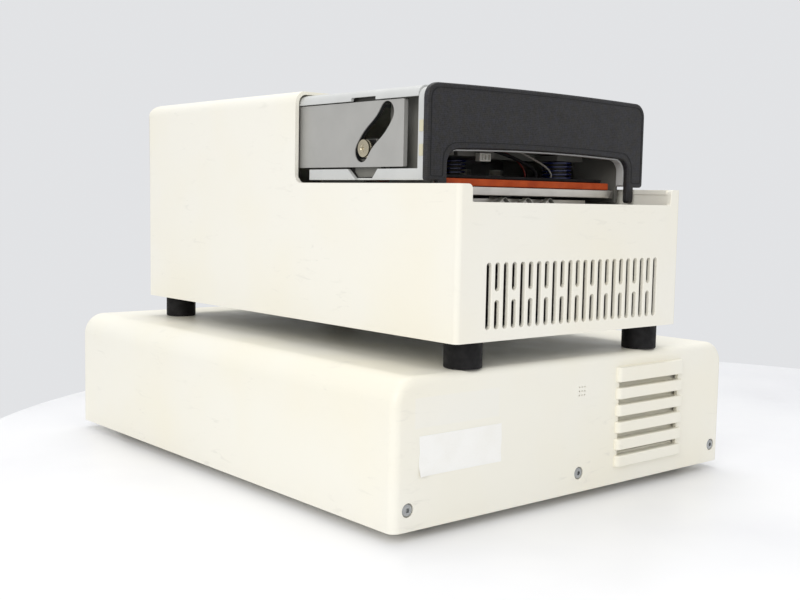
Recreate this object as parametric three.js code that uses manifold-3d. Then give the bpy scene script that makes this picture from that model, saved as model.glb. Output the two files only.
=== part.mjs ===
// A bench thermal cycler for robot loading: a cycler module with a motor-driven sliding lid, standing
// on its low control unit. Millimetres, +Z up, front towards -Y, +X to the right of someone facing it.
// The origin is at the middle of the overall box, on the surface that the control unit's feet stand on.
import * as THREE from "three";
import { mergeVertices } from "three/addons/utils/BufferGeometryUtils.js";
import Module from "manifold-3d";

const wasm = await Module();
wasm.setup();

// ---------------------------------------------------------------- driving dimensions

const GAP = 0.3; // clearance between pieces that rest on or beside each other
const REST_GAP = 0.1; // clearance at a foot that carries load
const PAST = 1; // how far a cutting tool runs past the face that it cuts

// Control unit. Its own frame: x from its middle, y back from its front face, z up from its lower edge.
const CONTROL = {
  width: 308,
  depth: 394,
  height: 86.5,
  wall: 2.5,
  edgeRadius: 16,
  endRadius: 5,
  footHeight: 6,
  footRadius: 10,
  footX: 122,
  footInset: 24,
};
const LOUVRE = {
  left: 34.5,
  right: 104,
  slotInset: 3,
  slotHeight: 3.8,
  pitch: 11.25,
  slots: 5,
  topSlotZ: 65.6,
  topRibHeight: 9.9,
  projection: 3.2,
  endRadius: 2.6,
};
const COVER_SCREW = {
  x: 143.2,
  z: 12.3,
  headRadius: 3.8,
  headDepth: 2,
  hexRadius: 1.4,
  hexDepth: 1.5,
  shankRadius: 1.7,
  length: 12,
};
const SOUND_HOLES = { x: 0.8, z: 65, pitch: 2.6, radius: 0.6, perSide: 3 };
const TRAY = {
  halfWidth: 150.8,
  front: 3.2,
  back: 389,
  bottom: 0.6,
  thickness: 1.8,
  flange: 1.6,
  frontFlangeTop: 20,
  flangeTop: 14,
};
const BOARD = { left: -46, right: 56, front: 60, back: 300, bottom: 8, thickness: 1.6 };
const BOARD_POST = { atX: [-40, 50], atY: [66, 294], radius: 3 };
const BOARD_PARTS = [
  { name: "processor", x: [-30, -4], y: [90, 116], top: 22 },
  { name: "memory", x: [10, 44], y: [86, 120], top: 16 },
  { name: "header", x: [-36, 40], y: [150, 166], top: 30 },
  { name: "driver", x: [-30, 0], y: [200, 240], top: 14 },
  { name: "regulator", x: [16, 42], y: [210, 262], top: 26 },
];
const SUPPLY = {
  left: -140,
  right: -66,
  front: 255,
  back: 352,
  bottom: 2.7,
  top: 40,
  lidInset: 6,
  lidTop: 43,
};
const SOUNDER = { radius: 7, back: 11 };
const CONTROL_PANEL = { halfWidth: 150.6, bottom: 0.6, top: 83.6, front: 389.3, thickness: 1.6, radius: 13 };
const MAINS_INLET = {
  left: -135,
  right: -87.4,
  bottom: 28,
  top: 55,
  front: 363,
  lipReach: 2,
  lipThickness: 1.6,
  recess: { fromLeft: [4, 26], front: 376, z: [34, 49] },
  pocketFront: 380,
  blade: { thickness: 1.6, height: 4, back: 387 },
  bladeSpots: [[9, 38.5], [15, 44], [21, 38.5]],
};
const ROCKER = {
  x: -97.5,
  z: 41.5,
  width: 12,
  height: 18.6,
  depth: 8,
  restTilt: 7,
  proud: 1.6,
  faceInset: 0.6,
  heelInset: 3,
};
const CONTROL_LINK = { x: -30, z: 40, halfX: 24.7, halfZ: 5.7, proud: 1.4, depth: 14, recess: 7 };
const DATA_PORT = { x: 28, z: 40, halfX: 7.7, halfZ: 6.7, proud: 0.8, depth: 16, recess: 12 };
const SOCKET_RIM = 1.2;
const CONTROL_FAN = { x: 90, front: 361.8, z: 44 };

// Cycler module. Its own frame: x from its middle, y back from its front face, z up from its lower edge.
const MODULE = {
  width: 204,
  depth: 362,
  offsetX: -11,
  overhang: 3.5,
  footHeight: 16.3,
  footRadius: 11.5,
  footX: 82,
  footFrontY: 15,
  footBackY: 346,
};
const HOUSING = {
  wall: 3.2,
  deckZ: 90.2,
  garageFront: 159,
  garageFrontZ: 150.3,
  garageBackZ: 150.8,
  roofInnerZ: 148.2,
  sideRadius: 9,
  frontRadius: 2,
  stepRadius: 6,
  backRadius: 8,
  garageFloor: 80.2,
  ledgeInner: 91.3,
  ledgeBack: 152,
  skirtThickness: 2,
  skirtBottom: 76,
  notchZ: 80,
  notchRadius: 1.5,
};
const VENT = { count: 23, pitch: 7, width: 4, bottom: 6.9, top: 45.5, barBottom: 23.8, barTop: 29 };
const MODULE_PANEL = { halfWidth: 84.6, bottom: 10.4, top: 79.6, front: 359, thickness: 1.6 };
const MODULE_LINK = { x: -62, z: 45, halfX: 5.7, halfZ: 24.7, proud: 1, depth: 13, recess: 7 };
const BASE_PLATE = { sideGap: 0.8, endGap: 4, bottom: 0.2, top: 2.2 };
const MODULE_BOARD = { left: -83.7, right: -82.1, y: [192, 336], z: [10, 70] };
const MODULE_BOARD_PARTS = [
  { name: "amplifier", right: -76, y: [205, 235], z: [24, 54] },
  { name: "header", right: -70, y: [250, 262], z: [16, 64] },
  { name: "sensor_input", right: -78, y: [280, 320], z: [22, 44] },
];

// Thermal stack, all centred on the sample block.
const BLOCK = { halfX: 63.9, y: 93.3, halfY: 42.7, bottom: 56, top: 82.3 };
const WELL = {
  columns: 12,
  rows: 8,
  pitch: 9,
  topRadius: 2.8,
  bottomRadius: 1.6,
  depth: 15,
  sides: 6,
  past: 0.01,
};
const PELTIER = { halfX: 60, halfY: 40, bottom: 52.3, top: 55.7 };
const SINK = { halfX: 60, halfY: 43, baseBottom: 44, top: 52, finBottom: 5, fins: 15, finPitch: 8, fin: 2 };
const BLOCK_FRAME = { halfX: 86, front: 38, back: 151, bottom: 75, top: 79.2, clearance: 0.4 };
const CHASSIS = { inner: 84, outer: 86, front: 36, back: 352, bottom: 2.5, top: 74.8 };
const MODULE_FAN = { front: 160, z: 42.7 };

// Drive, to the right of the fan.
const SCREW = { x: 66, z: 65, radius: 4, front: 147.8, back: 305.5, couplingRadius: 8, couplingBack: 313 };
const BEARING_LUG = { halfX: 8, front: 147.6, back: 150, drop: 10, clearance: 0.1 };
const NUT = { radius: 7, flangeRadius: 11, front: 152.6, flangeBack: 155.7, back: 167, bore: 4.5 };
const MOTOR = { half: 17.5, front: 316.3, back: 352, pilotRadius: 11, pilotDepth: 1.5, shaftRadius: 2.5 };
const BRACKET = {
  left: 48,
  right: 83.6,
  front: 313.8,
  back: 316,
  bottom: 2.5,
  footTop: 4.7,
  top: 83,
  footBack: 334,
};

// Lid: bezel, frame, shell and walls slide back together into the garage.
const BEZEL = {
  front: 30.2,
  back: 33.9,
  halfWidth: 100,
  bottom: 91.6,
  crown: 149.5,
  shoulder: 148.2,
  cornerRadius: 9,
  legInner: 83.2,
  legOuter: 90.3,
  legBottom: 81,
  archCrown: 112,
  archShoulder: 110.2,
  archRadius: 9,
};
const LID_FRAME = {
  front: 34.2,
  back: 41,
  halfWidth: 97.5,
  bottom: 92.2,
  top: 146.5,
  cornerRadius: 8,
  inner: 84,
  archTop: 117,
};
const LID_RAIL = { inner: 94, outer: 96.5, back: 150, bottom: 92.2, top: 98.9, webInner: 86.5, webTop: 93.4 };
const RAIL_NOTCH = {
  topFront: 79,
  topBack: 109.4,
  bottomFront: 82.4,
  bottomBack: 104.5,
  z: 95.3,
  radius: 1.5,
};
const SHELL = { halfWidth: 97.6, front: 41.3, back: 168, bottom: 140.8, top: 147.5, wall: 2, radius: 6.4 };
const SHELL_NOTCH = { front: 80.8, back: 105, top: 142.9 };
const LID_WALL = { inner: 84, outer: 86.2, front: 41.3, back: 150, bottom: 81, top: 145 };
const WALL_SLOT = { front: 80, back: 106.6, bottom: 91.5 };

// Cam slider: it slides back in the lid first and lifts the platen by its slanted slots.
const CAM = { inner: 93.5, outer: 96.5, front: 55, back: 162, bottom: 100.1, top: 140.1 };
const CAM_SLOT = { halfWidth: 6.7, lowY: 95, lowZ: 109.7, highY: 71, highZ: 132.8, bow: 0.85, steps: 8 };
const CROSSBAR = { front: 156, back: 160, bottom: 104, top: 118, armHalf: 10, armBottom: 54 };

// Platen: heated plate and insulation, pressed down by three springs under a lifting frame.
const PLATEN = { halfX: 80, front: 40, back: 146.6, bottom: 84, top: 89.3 };
const PAD = { halfX: 77, inset: 0.5, bottom: 89.6, top: 94 };
const BACKING = { halfX: 74, front: 46, back: 141, bottom: 94.3, top: 96.3 };
const SPRING = { radius: 10.5, bore: 7.5, bottom: 96.6, top: 108.3 };
const SPRING_SPOTS = { left: [-61, 75], right: [61, 75], rear: [0, 118] };
const LIFT = { halfX: 82, front: 84, back: 103, bottom: 108.6, plateTop: 112.2, top: 114 };
const LIFT_SHELF = { x: [-46, -14], front: 62 };
const SPRING_SEAT = { sideX: [48, 74], sideFront: 63, rearHalf: 15, rearBack: 131 };
const LIFT_ARM = { inner: 88.5, outer: 92.4, y: [86, 100.8] };
const TERMINALS = { x: [-38, -26], y: [65, 75], z: [112.5, 117] };
const LEAD = { radius: 1.1, sides: 8, steps: 14 };
const LEAD_ROUTE = [
  [-25.6, 70, 114.6],
  [-16, 68, 114.4],
  [-4, 64, 111.5],
  [8, 61, 107.5],
  [18, 60, 103.5],
  [23.4, 60, 99.9],
  [24, 60, 97],
];
const ROLLER = { y: 93.4, z: 111.6, radius: 5.6, bore: 2.08, axle: 2, inner: 92.7, outer: 97 };

const FAN = {
  size: 80,
  depth: 25,
  holeRadius: 38,
  hubRadius: 17,
  bladeRadius: 36.5,
  blades: 7,
  bladeChord: 16,
  bladeThickness: 1.6,
  bladePitch: 38,
  strut: 3,
  strutDepth: 2,
  seatDepth: 3,
  hubFront: 2,
  hubBack: 21.5,
};
const GRILLE = { reach: 30, pitch: 10, slotHeight: 6, margin: 2 };

const CONTROL_FRONT = -(CONTROL.depth - MODULE.overhang) / 2;
const MODULE_FRONT = CONTROL_FRONT - MODULE.overhang;
const MODULE_BOTTOM = CONTROL.footHeight + CONTROL.height + MODULE.footHeight;

// ---------------------------------------------------------------- materials

function finish(color, roughness, metalness = 0) {
  return new THREE.MeshStandardMaterial({ color, roughness, metalness });
}

const FINISH = {
  cream: finish(0xf1eddf, 0.5),
  charcoal: finish(0x3a3a3c, 0.62),
  lightGrey: finish(0xcfd0cd, 0.5),
  camGrey: finish(0xa9a8a3, 0.45, 0.35),
  darkGrey: finish(0x55554f, 0.6),
  silicone: finish(0xb4562f, 0.75),
  blackRubber: finish(0x1c1b1c, 0.85),
  blackPlastic: finish(0x232325, 0.55),
  aluminium: finish(0xbfc1c2, 0.35, 0.9),
  steel: finish(0x9b9c9a, 0.4, 0.9),
  nickel: finish(0xb5a98a, 0.25, 1),
  brass: finish(0xb08d4a, 0.35, 0.9),
  circuitGreen: finish(0x2f6b3c, 0.5),
  springBlue: finish(0x1d3f8f, 0.4, 0.3),
  whitePlastic: finish(0xe8e6dc, 0.5),
  ceramic: finish(0xe6e4de, 0.6),
};

// ---------------------------------------------------------------- solids

function toSolid(shape) {
  if (!shape.isBufferGeometry) return shape;
  const bare = shape.clone();
  bare.deleteAttribute("normal");
  bare.deleteAttribute("uv");
  const merged = mergeVertices(bare, 1e-4);
  const triVerts = new Uint32Array(merged.index.array);
  const vertProperties = merged.attributes.position.array;
  return new wasm.Manifold(new wasm.Mesh({ numProp: 3, vertProperties, triVerts }));
}

function toGeometry(shape) {
  if (shape.isBufferGeometry) return shape;
  const mesh = shape.getMesh();
  const geometry = new THREE.BufferGeometry();
  geometry.setAttribute("position", new THREE.BufferAttribute(mesh.vertProperties, mesh.numProp));
  geometry.setIndex(new THREE.BufferAttribute(mesh.triVerts, 1));
  geometry.computeVertexNormals();
  return geometry;
}

const join = (...shapes) => shapes.map(toSolid).reduce((whole, part) => whole.add(part));
const cut = (shape, ...tools) =>
  tools.map(toSolid).reduce((whole, tool) => whole.subtract(tool), toSolid(shape));
const common = (a, b) => toSolid(a).intersect(toSolid(b));

// A box between two values on each axis, given in any order.
function box([x0, x1], [y0, y1], [z0, z1]) {
  const geometry = new THREE.BoxGeometry(Math.abs(x1 - x0), Math.abs(y1 - y0), Math.abs(z1 - z0));
  return geometry.translate((x0 + x1) / 2, (y0 + y1) / 2, (z0 + z1) / 2);
}

// Where an extruded outline's own x, y and z go for a prism along each axis.
const X = new THREE.Vector3(1, 0, 0);
const Y = new THREE.Vector3(0, 1, 0);
const Z = new THREE.Vector3(0, 0, 1);
const PRISM_BASIS = {
  x: new THREE.Matrix4().makeBasis(Y, Z, X),
  y: new THREE.Matrix4().makeBasis(X, Z, Y.clone().negate()),
  z: new THREE.Matrix4(),
};

// A prism of an outline: (y, z) for an x prism, (x, z) for a y prism and (x, y) for a z prism.
function prism(axis, outline, from, to, curveSegments = 6) {
  const low = Math.min(from, to);
  const high = Math.max(from, to);
  const settings = { depth: high - low, bevelEnabled: false, curveSegments };
  const geometry = new THREE.ExtrudeGeometry(outline, settings);
  geometry.applyMatrix4(PRISM_BASIS[axis]);
  if (axis === "x") return geometry.translate(low, 0, 0);
  if (axis === "y") return geometry.translate(0, high, 0);
  return geometry.translate(0, 0, low);
}

// A round rod along an axis; centre holds the other two coordinates in x, y, z order.
function rod(axis, [u, v], radius, from, to, sides = 16, farRadius = radius) {
  const length = Math.abs(to - from);
  const middle = (from + to) / 2;
  const geometry = new THREE.CylinderGeometry(farRadius, radius, length, sides);
  if (axis === "x") return geometry.rotateZ(-Math.PI / 2).translate(middle, u, v);
  if (axis === "y") return geometry.translate(u, middle, v);
  return geometry.rotateX(Math.PI / 2).translate(u, v, middle);
}

// An outline through points; a point with a third value is rounded to that radius.
function outline(points) {
  const shape = new THREE.Shape();
  points.forEach(([x, y, radius = 0], i) => {
    const corner = new THREE.Vector2(x, y);
    const before = new THREE.Vector2(...points[(i + points.length - 1) % points.length]);
    const after = new THREE.Vector2(...points[(i + 1) % points.length]);
    const start = corner.clone().add(before.sub(corner).setLength(radius));
    const end = corner.clone().add(after.sub(corner).setLength(radius));
    if (i === 0) shape.moveTo(start.x, start.y);
    else shape.lineTo(start.x, start.y);
    if (radius > 0) shape.quadraticCurveTo(x, y, end.x, end.y);
  });
  shape.closePath();
  return shape;
}

// An arch-topped outline: straight sides and a round-shouldered top, as casings and lids have.
function archOutline(halfWidth, bottom, top, radius) {
  return outline([
    [halfWidth, bottom],
    [halfWidth, top, radius],
    [-halfWidth, top, radius],
    [-halfWidth, bottom],
  ]);
}

// The same with a top that rises from its shoulders to a crown in the middle.
function crownedOutline(halfWidth, bottom, shoulder, crown, radius) {
  const spread = [-0.75, -0.5, -0.25, 0, 0.25, 0.5, 0.75];
  const top = spread.map((s) => [-s * halfWidth, crown - (crown - shoulder) * s * s]);
  return outline([
    [halfWidth, bottom],
    [halfWidth, shoulder, radius],
    ...top,
    [-halfWidth, shoulder, radius],
    [-halfWidth, bottom],
  ]);
}

// ---------------------------------------------------------------- scene graph

const cycler = new THREE.Group();
const controlUnit = new THREE.Group();
const cyclerModule = new THREE.Group();
controlUnit.position.set(0, CONTROL_FRONT, CONTROL.footHeight);
cyclerModule.position.set(MODULE.offsetX, MODULE_FRONT, MODULE_BOTTOM);
cycler.add(controlUnit, cyclerModule);

function add(group, name, shape, material, position = [0, 0, 0]) {
  const mesh = new THREE.Mesh(toGeometry(shape), material.clone());
  mesh.name = name;
  mesh.position.set(...position);
  group.add(mesh);
  return mesh;
}

const SIDES = [
  ["left", -1],
  ["right", 1],
];
const mirrored = (side, near, far) => [side * near, side * far];

// ---------------------------------------------------------------- fans, shared by both units

// A square axial fan's frame: its axis runs along y and its front face is at y = 0.
function fanFrame() {
  const half = FAN.size / 2;
  const body = box([-half, half], [0, FAN.depth], [-half, half]);
  const bore = rod("y", [0, 0], FAN.holeRadius, -PAST, FAN.depth + PAST, 24);
  const strutSpan = [FAN.depth - FAN.strutDepth, FAN.depth];
  const thin = [-FAN.strut / 2, FAN.strut / 2];
  const strut = box(thin, strutSpan, [-half, half]);
  const crossStrut = box([-half, half], strutSpan, thin);
  const motorSeat = rod("y", [0, 0], FAN.hubRadius, FAN.depth - FAN.seatDepth, FAN.depth, 16);
  return join(cut(body, bore), strut, crossStrut, motorSeat);
}

// The rotor: a hub with pitched blades, in front of the frame's motor seat.
function fanRotor() {
  const hub = rod("y", [0, 0], FAN.hubRadius, FAN.hubFront, FAN.hubBack, 16);
  const middle = (FAN.hubFront + FAN.hubBack) / 2;
  const root = FAN.hubRadius - 2 * PAST;
  const blades = [];
  for (let i = 0; i < FAN.blades; i += 1) {
    const blade = new THREE.BoxGeometry(FAN.bladeChord, FAN.bladeThickness, FAN.bladeRadius - root);
    blade.rotateZ(THREE.MathUtils.degToRad(FAN.bladePitch));
    blade.translate(0, middle, (FAN.bladeRadius + root) / 2);
    blade.rotateY((i * 2 * Math.PI) / FAN.blades);
    blades.push(blade);
  }
  const sweep = rod("y", [0, 0], FAN.bladeRadius, 0, FAN.hubBack, 24);
  return common(join(hub, ...blades), sweep);
}

function addFan(group, name, x, front, z) {
  add(group, name + "_frame", fanFrame(), FINISH.blackPlastic, [x, front, z]);
  add(group, name + "_rotor", fanRotor(), FINISH.blackPlastic, [x, front, z]);
}

// Level slots in a panel, each as long as a circle around the fan's axis lets it be.
function grille(x, z, y0, y1) {
  const slots = [];
  const { reach, pitch, slotHeight, margin } = GRILLE;
  for (let level = -reach; level <= reach; level += pitch) {
    const half = Math.sqrt(FAN.holeRadius ** 2 - level ** 2) - margin;
    const upright = [z + level - slotHeight / 2, z + level + slotHeight / 2];
    slots.push(box([x - half, x + half], [y0, y1], upright));
  }
  return slots;
}

// ---------------------------------------------------------------- control unit

function controlCover() {
  const { width, depth, height, wall, edgeRadius, endRadius } = CONTROL;
  const half = width / 2;
  const across = prism("y", archOutline(half, 0, height, edgeRadius), 0, depth);
  const along = prism(
    "x",
    outline([
      [0, 0],
      [0, height, endRadius],
      [depth, height, endRadius],
      [depth, 0],
    ]),
    -half,
    half,
    4,
  );
  const inside = archOutline(half - wall, -PAST, height - wall, edgeRadius - wall);
  const cavity = prism("y", inside, wall, depth + PAST);
  const holes = [];
  for (let column = 0; column < SOUND_HOLES.perSide; column += 1) {
    for (let row = 0; row < SOUND_HOLES.perSide; row += 1) {
      const x = SOUND_HOLES.x + (column - 1) * SOUND_HOLES.pitch;
      const z = SOUND_HOLES.z + (row - 1) * SOUND_HOLES.pitch;
      holes.push(rod("y", [x, z], SOUND_HOLES.radius, -PAST, wall + PAST, 6));
    }
  }
  const { shankRadius, headRadius, headDepth } = COVER_SCREW;
  for (const x of [-COVER_SCREW.x, 0, COVER_SCREW.x]) {
    holes.push(rod("y", [x, COVER_SCREW.z], shankRadius + GAP, -PAST, wall + PAST, 12));
    holes.push(rod("y", [x, COVER_SCREW.z], headRadius + GAP, -PAST, headDepth + GAP, 12));
  }
  const shell = cut(common(across, along), cavity, ...holes);
  return cut(join(shell, ...louvreRibs()), ...louvreSlots());
}

const slotZ = (i) => LOUVRE.topSlotZ - i * LOUVRE.pitch;

function louvreRibs() {
  const { left, right, projection, endRadius, slotHeight, pitch, slots, topRibHeight } = LOUVRE;
  const plan = outline([
    [left, CONTROL.wall / 2],
    [left, -projection, endRadius],
    [right, -projection, endRadius],
    [right, CONTROL.wall / 2],
  ]);
  const ribs = [];
  for (let i = 0; i <= slots; i += 1) {
    const bottom = slotZ(i) + slotHeight / 2;
    const ribHeight = i === 0 ? topRibHeight : pitch - slotHeight;
    ribs.push(prism("z", plan, bottom, bottom + ribHeight, 3));
  }
  return ribs;
}

function louvreSlots() {
  const { left, right, slotInset, slotHeight, slots, projection } = LOUVRE;
  return Array.from({ length: slots }, (_, i) =>
    box(
      [left + slotInset, right - slotInset],
      [-projection - PAST, CONTROL.wall + PAST],
      [slotZ(i) - slotHeight / 2, slotZ(i) + slotHeight / 2],
    ),
  );
}

// The sheet-metal tray that the cover screws onto, with posts for the board.
function controlTray() {
  const { halfWidth, front, back, bottom, thickness, flange, frontFlangeTop, flangeTop } = TRAY;
  const floorTop = bottom + thickness;
  const pieces = [
    box([-halfWidth, halfWidth], [front, back], [bottom, floorTop]),
    box([-halfWidth, halfWidth], [front, front + flange], [bottom, frontFlangeTop]),
    box([-halfWidth, halfWidth], [back - flange, back], [bottom, flangeTop]),
  ];
  for (const [, side] of SIDES) {
    pieces.push(box(mirrored(side, halfWidth - flange, halfWidth), [front, back], [bottom, flangeTop]));
  }
  for (const x of BOARD_POST.atX) {
    for (const y of BOARD_POST.atY) {
      pieces.push(rod("z", [x, y], BOARD_POST.radius, bottom + thickness / 2, BOARD.bottom - GAP, 8));
    }
  }
  const holes = [-COVER_SCREW.x, 0, COVER_SCREW.x].map((x) =>
    rod("y", [x, COVER_SCREW.z], COVER_SCREW.shankRadius + GAP, front - PAST, front + flange + PAST, 12),
  );
  return cut(join(...pieces), ...holes);
}

function controlBoard() {
  const { left, right, front, back, bottom, thickness } = BOARD;
  const parts = BOARD_PARTS.map(({ x, y, top }) => box(x, y, [bottom + thickness / 2, top]));
  return join(box([left, right], [front, back], [bottom, bottom + thickness]), ...parts);
}

function powerSupply() {
  const { left, right, front, back, bottom, top, lidInset, lidTop } = SUPPLY;
  return join(
    box([left, right], [front, back], [bottom, top]),
    box([left + lidInset, right - lidInset], [front + lidInset, back - lidInset], [top - PAST, lidTop]),
  );
}

function controlPanel() {
  const { halfWidth, bottom, top, front, thickness, radius } = CONTROL_PANEL;
  const ends = [front - PAST, front + thickness + PAST];
  const plate = prism("y", archOutline(halfWidth, bottom, top, radius), front, front + thickness);
  return cut(
    plate,
    ...grille(CONTROL_FAN.x, CONTROL_FAN.z, ...ends),
    box([MAINS_INLET.left, MAINS_INLET.right], ends, [MAINS_INLET.bottom, MAINS_INLET.top]),
    socketOpening(CONTROL_LINK, ends),
    socketOpening(DATA_PORT, ends),
  );
}

// A mains inlet and switch housing in one moulding: a recess with three blades, and the rocker's pocket.
function mainsInlet() {
  const { left, right, bottom, top, front, lipReach, lipThickness, recess, blade } = MAINS_INLET;
  const lipFront = CONTROL_PANEL.front + CONTROL_PANEL.thickness + GAP;
  const lipBack = lipFront + lipThickness;
  const body = box([left + GAP, right - GAP], [front, lipFront + GAP], [bottom + GAP, top - GAP]);
  const lip = box(
    [left - lipReach, right + lipReach],
    [lipFront, lipBack],
    [bottom - lipReach, top + lipReach],
  );
  const socket = box(
    recess.fromLeft.map((offset) => left + offset),
    [recess.front, lipBack + PAST],
    recess.z,
  );
  const halfPocket = ROCKER.height / 2 + PAST;
  const pocket = box(
    [ROCKER.x - ROCKER.width / 2 - 2 * GAP, ROCKER.x + ROCKER.width / 2 + 2 * GAP],
    [MAINS_INLET.pocketFront, lipBack + PAST],
    [ROCKER.z - halfPocket, ROCKER.z + halfPocket],
  );
  const blades = MAINS_INLET.bladeSpots.map(([fromLeft, z]) => {
    const x = left + fromLeft;
    const across = [x - blade.thickness / 2, x + blade.thickness / 2];
    return box(across, [recess.front - PAST, blade.back], [z - blade.height / 2, z + blade.height / 2]);
  });
  return join(cut(join(body, lip), socket, pocket), ...blades);
}

// The rocker's outline is a shallow V, so one half stands proud and the other lies level.
function rocker() {
  const { width, height, depth, restTilt, faceInset, heelInset } = ROCKER;
  const half = height / 2;
  const tilt = THREE.MathUtils.degToRad(restTilt);
  const tip = (half * Math.tan(tilt)) / 2 - faceInset;
  const profile = outline([
    [-depth, -half + heelInset],
    [tip, -half],
    [-faceInset, 0],
    [tip, half],
    [-depth, half - heelInset],
  ]);
  return prism("x", profile, -width / 2, width / 2).rotateX(-tilt);
}

// A panel socket: a metal shell with a recess, standing a little proud of its panel.
function panelSocket({ x, z, halfX, halfZ, proud, depth, recess }, panelFace) {
  const face = panelFace + proud;
  const body = box([x - halfX, x + halfX], [face - depth, face], [z - halfZ, z + halfZ]);
  const innerX = halfX - SOCKET_RIM;
  const innerZ = halfZ - SOCKET_RIM;
  return cut(body, box([x - innerX, x + innerX], [face - recess, face + PAST], [z - innerZ, z + innerZ]));
}

// The hole in a panel that a socket passes through.
function socketOpening({ x, z, halfX, halfZ }, ends) {
  const reachX = halfX + GAP;
  const reachZ = halfZ + GAP;
  return box([x - reachX, x + reachX], ends, [z - reachZ, z + reachZ]);
}

function coverScrew() {
  const { headRadius, shankRadius, headDepth, length, hexRadius, hexDepth } = COVER_SCREW;
  const head = rod("y", [0, 0], headRadius, REST_GAP, headDepth, 16, shankRadius);
  const hexSocket = rod("y", [0, 0], hexRadius, -PAST, hexDepth, 6);
  const shank = rod("y", [0, 0], shankRadius, headDepth - REST_GAP, length, 12);
  return cut(join(head, shank), hexSocket);
}

function addControlUnit() {
  const { footRadius, footHeight, footX, footInset, depth } = CONTROL;
  const panelFace = CONTROL_PANEL.front + CONTROL_PANEL.thickness;
  add(controlUnit, "control_cover", controlCover(), FINISH.cream);
  add(controlUnit, "control_base_tray", controlTray(), FINISH.steel);
  add(controlUnit, "control_rear_panel", controlPanel(), FINISH.lightGrey);
  for (const [end, y] of [["front", footInset], ["rear", depth - footInset]]) {
    for (const [hand, side] of SIDES) {
      const foot = rod("z", [0, 0], footRadius, -footHeight, TRAY.bottom - REST_GAP, 20);
      add(controlUnit, `control_foot_${end}_${hand}`, foot, FINISH.blackRubber, [side * footX, y, 0]);
    }
  }
  add(controlUnit, "control_power_supply", powerSupply(), FINISH.steel);
  add(controlUnit, "control_board", controlBoard(), FINISH.circuitGreen);
  const soundSpot = [SOUND_HOLES.x, SOUND_HOLES.z];
  const sounder = rod("y", soundSpot, SOUNDER.radius, CONTROL.wall + GAP, SOUNDER.back, 16);
  add(controlUnit, "control_sounder", sounder, FINISH.blackPlastic);
  addFan(controlUnit, "control_fan", CONTROL_FAN.x, CONTROL_FAN.front, CONTROL_FAN.z);
  add(controlUnit, "mains_inlet", mainsInlet(), FINISH.blackPlastic);
  const rockerPivot = [ROCKER.x, panelFace + ROCKER.proud, ROCKER.z];
  add(controlUnit, "mains_rocker", rocker(), FINISH.blackPlastic, rockerPivot);
  add(controlUnit, "control_link_socket", panelSocket(CONTROL_LINK, panelFace), FINISH.nickel);
  add(controlUnit, "data_socket", panelSocket(DATA_PORT, panelFace), FINISH.nickel);
  for (const [place, x] of [["left", -COVER_SCREW.x], ["middle", 0], ["right", COVER_SCREW.x]]) {
    add(controlUnit, `cover_screw_${place}`, coverScrew(), FINISH.steel, [x, 0, COVER_SCREW.z]);
  }
}

// ---------------------------------------------------------------- module: housing and chassis

function housing() {
  const { wall, deckZ, garageFront, garageFrontZ, garageBackZ, roofInnerZ } = HOUSING;
  const { sideRadius, stepRadius, backRadius, frontRadius, garageFloor } = HOUSING;
  const { ledgeInner, ledgeBack, skirtThickness, skirtBottom } = HOUSING;
  const half = MODULE.width / 2;
  const innerHalf = half - wall;
  const innerBack = MODULE.depth - wall;
  const sideView = outline([
    [0, 0],
    [0, deckZ, frontRadius],
    [garageFront, deckZ, stepRadius],
    [garageFront, garageFrontZ],
    [MODULE.depth, garageBackZ, backRadius],
    [MODULE.depth, 0],
  ]);
  const along = prism("x", sideView, -half, half);
  const across = prism("y", archOutline(half, 0, garageBackZ, sideRadius), 0, MODULE.depth);
  const underDeck = box([-innerHalf, innerHalf], [wall, innerBack], [-PAST, deckZ - wall]);
  const garageOutline = archOutline(innerHalf, garageFloor, roofInnerZ, sideRadius - wall);
  const garage = prism("y", garageOutline, ledgeBack, innerBack);
  const tubMouth = box([-ledgeInner, ledgeInner], [wall, garageFront], [skirtBottom, deckZ + PAST]);
  const shell = cut(common(along, across), underDeck, garage, tubMouth);
  const skirts = SIDES.map(([, side]) =>
    box(
      mirrored(side, ledgeInner, ledgeInner + skirtThickness),
      [wall - PAST, ledgeBack],
      [skirtBottom, deckZ - wall + PAST],
    ),
  );
  return cut(join(shell, ...skirts), frontNotch(), rearOpening(), ...ventSlots());
}

// The low stretch of the front wall, where a gripper reaches in.
function frontNotch() {
  const { ledgeInner, notchZ, notchRadius, wall, deckZ } = HOUSING;
  const opening = outline([
    [-ledgeInner, notchZ, notchRadius],
    [ledgeInner, notchZ, notchRadius],
    [ledgeInner, deckZ + PAST],
    [-ledgeInner, deckZ + PAST],
  ]);
  return prism("y", opening, -PAST, wall + PAST);
}

function rearOpening() {
  const { halfWidth, bottom, top } = MODULE_PANEL;
  const through = [MODULE.depth - HOUSING.wall - PAST, MODULE.depth + PAST];
  return box([-halfWidth - GAP, halfWidth + GAP], through, [bottom - GAP, top + GAP]);
}

// Upright slots across the front: every second one is split by a bar.
function ventSlots() {
  const slots = [];
  for (let i = 0; i < VENT.count; i += 1) {
    const x = (i - (VENT.count - 1) / 2) * VENT.pitch;
    const across = [x - VENT.width / 2, x + VENT.width / 2];
    const through = [-PAST, HOUSING.wall + PAST];
    if (i % 2) {
      slots.push(box(across, through, [VENT.bottom, VENT.barBottom]));
      slots.push(box(across, through, [VENT.barTop, VENT.top]));
    } else {
      slots.push(box(across, through, [VENT.bottom, VENT.top]));
    }
  }
  return slots;
}

function modulePanel() {
  const { halfWidth, bottom, top, front, thickness } = MODULE_PANEL;
  const ends = [front - PAST, front + thickness + PAST];
  return cut(
    box([-halfWidth, halfWidth], [front, front + thickness], [bottom, top]),
    ...grille(0, MODULE_FAN.z, ...ends),
    socketOpening(MODULE_LINK, ends),
  );
}

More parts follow.
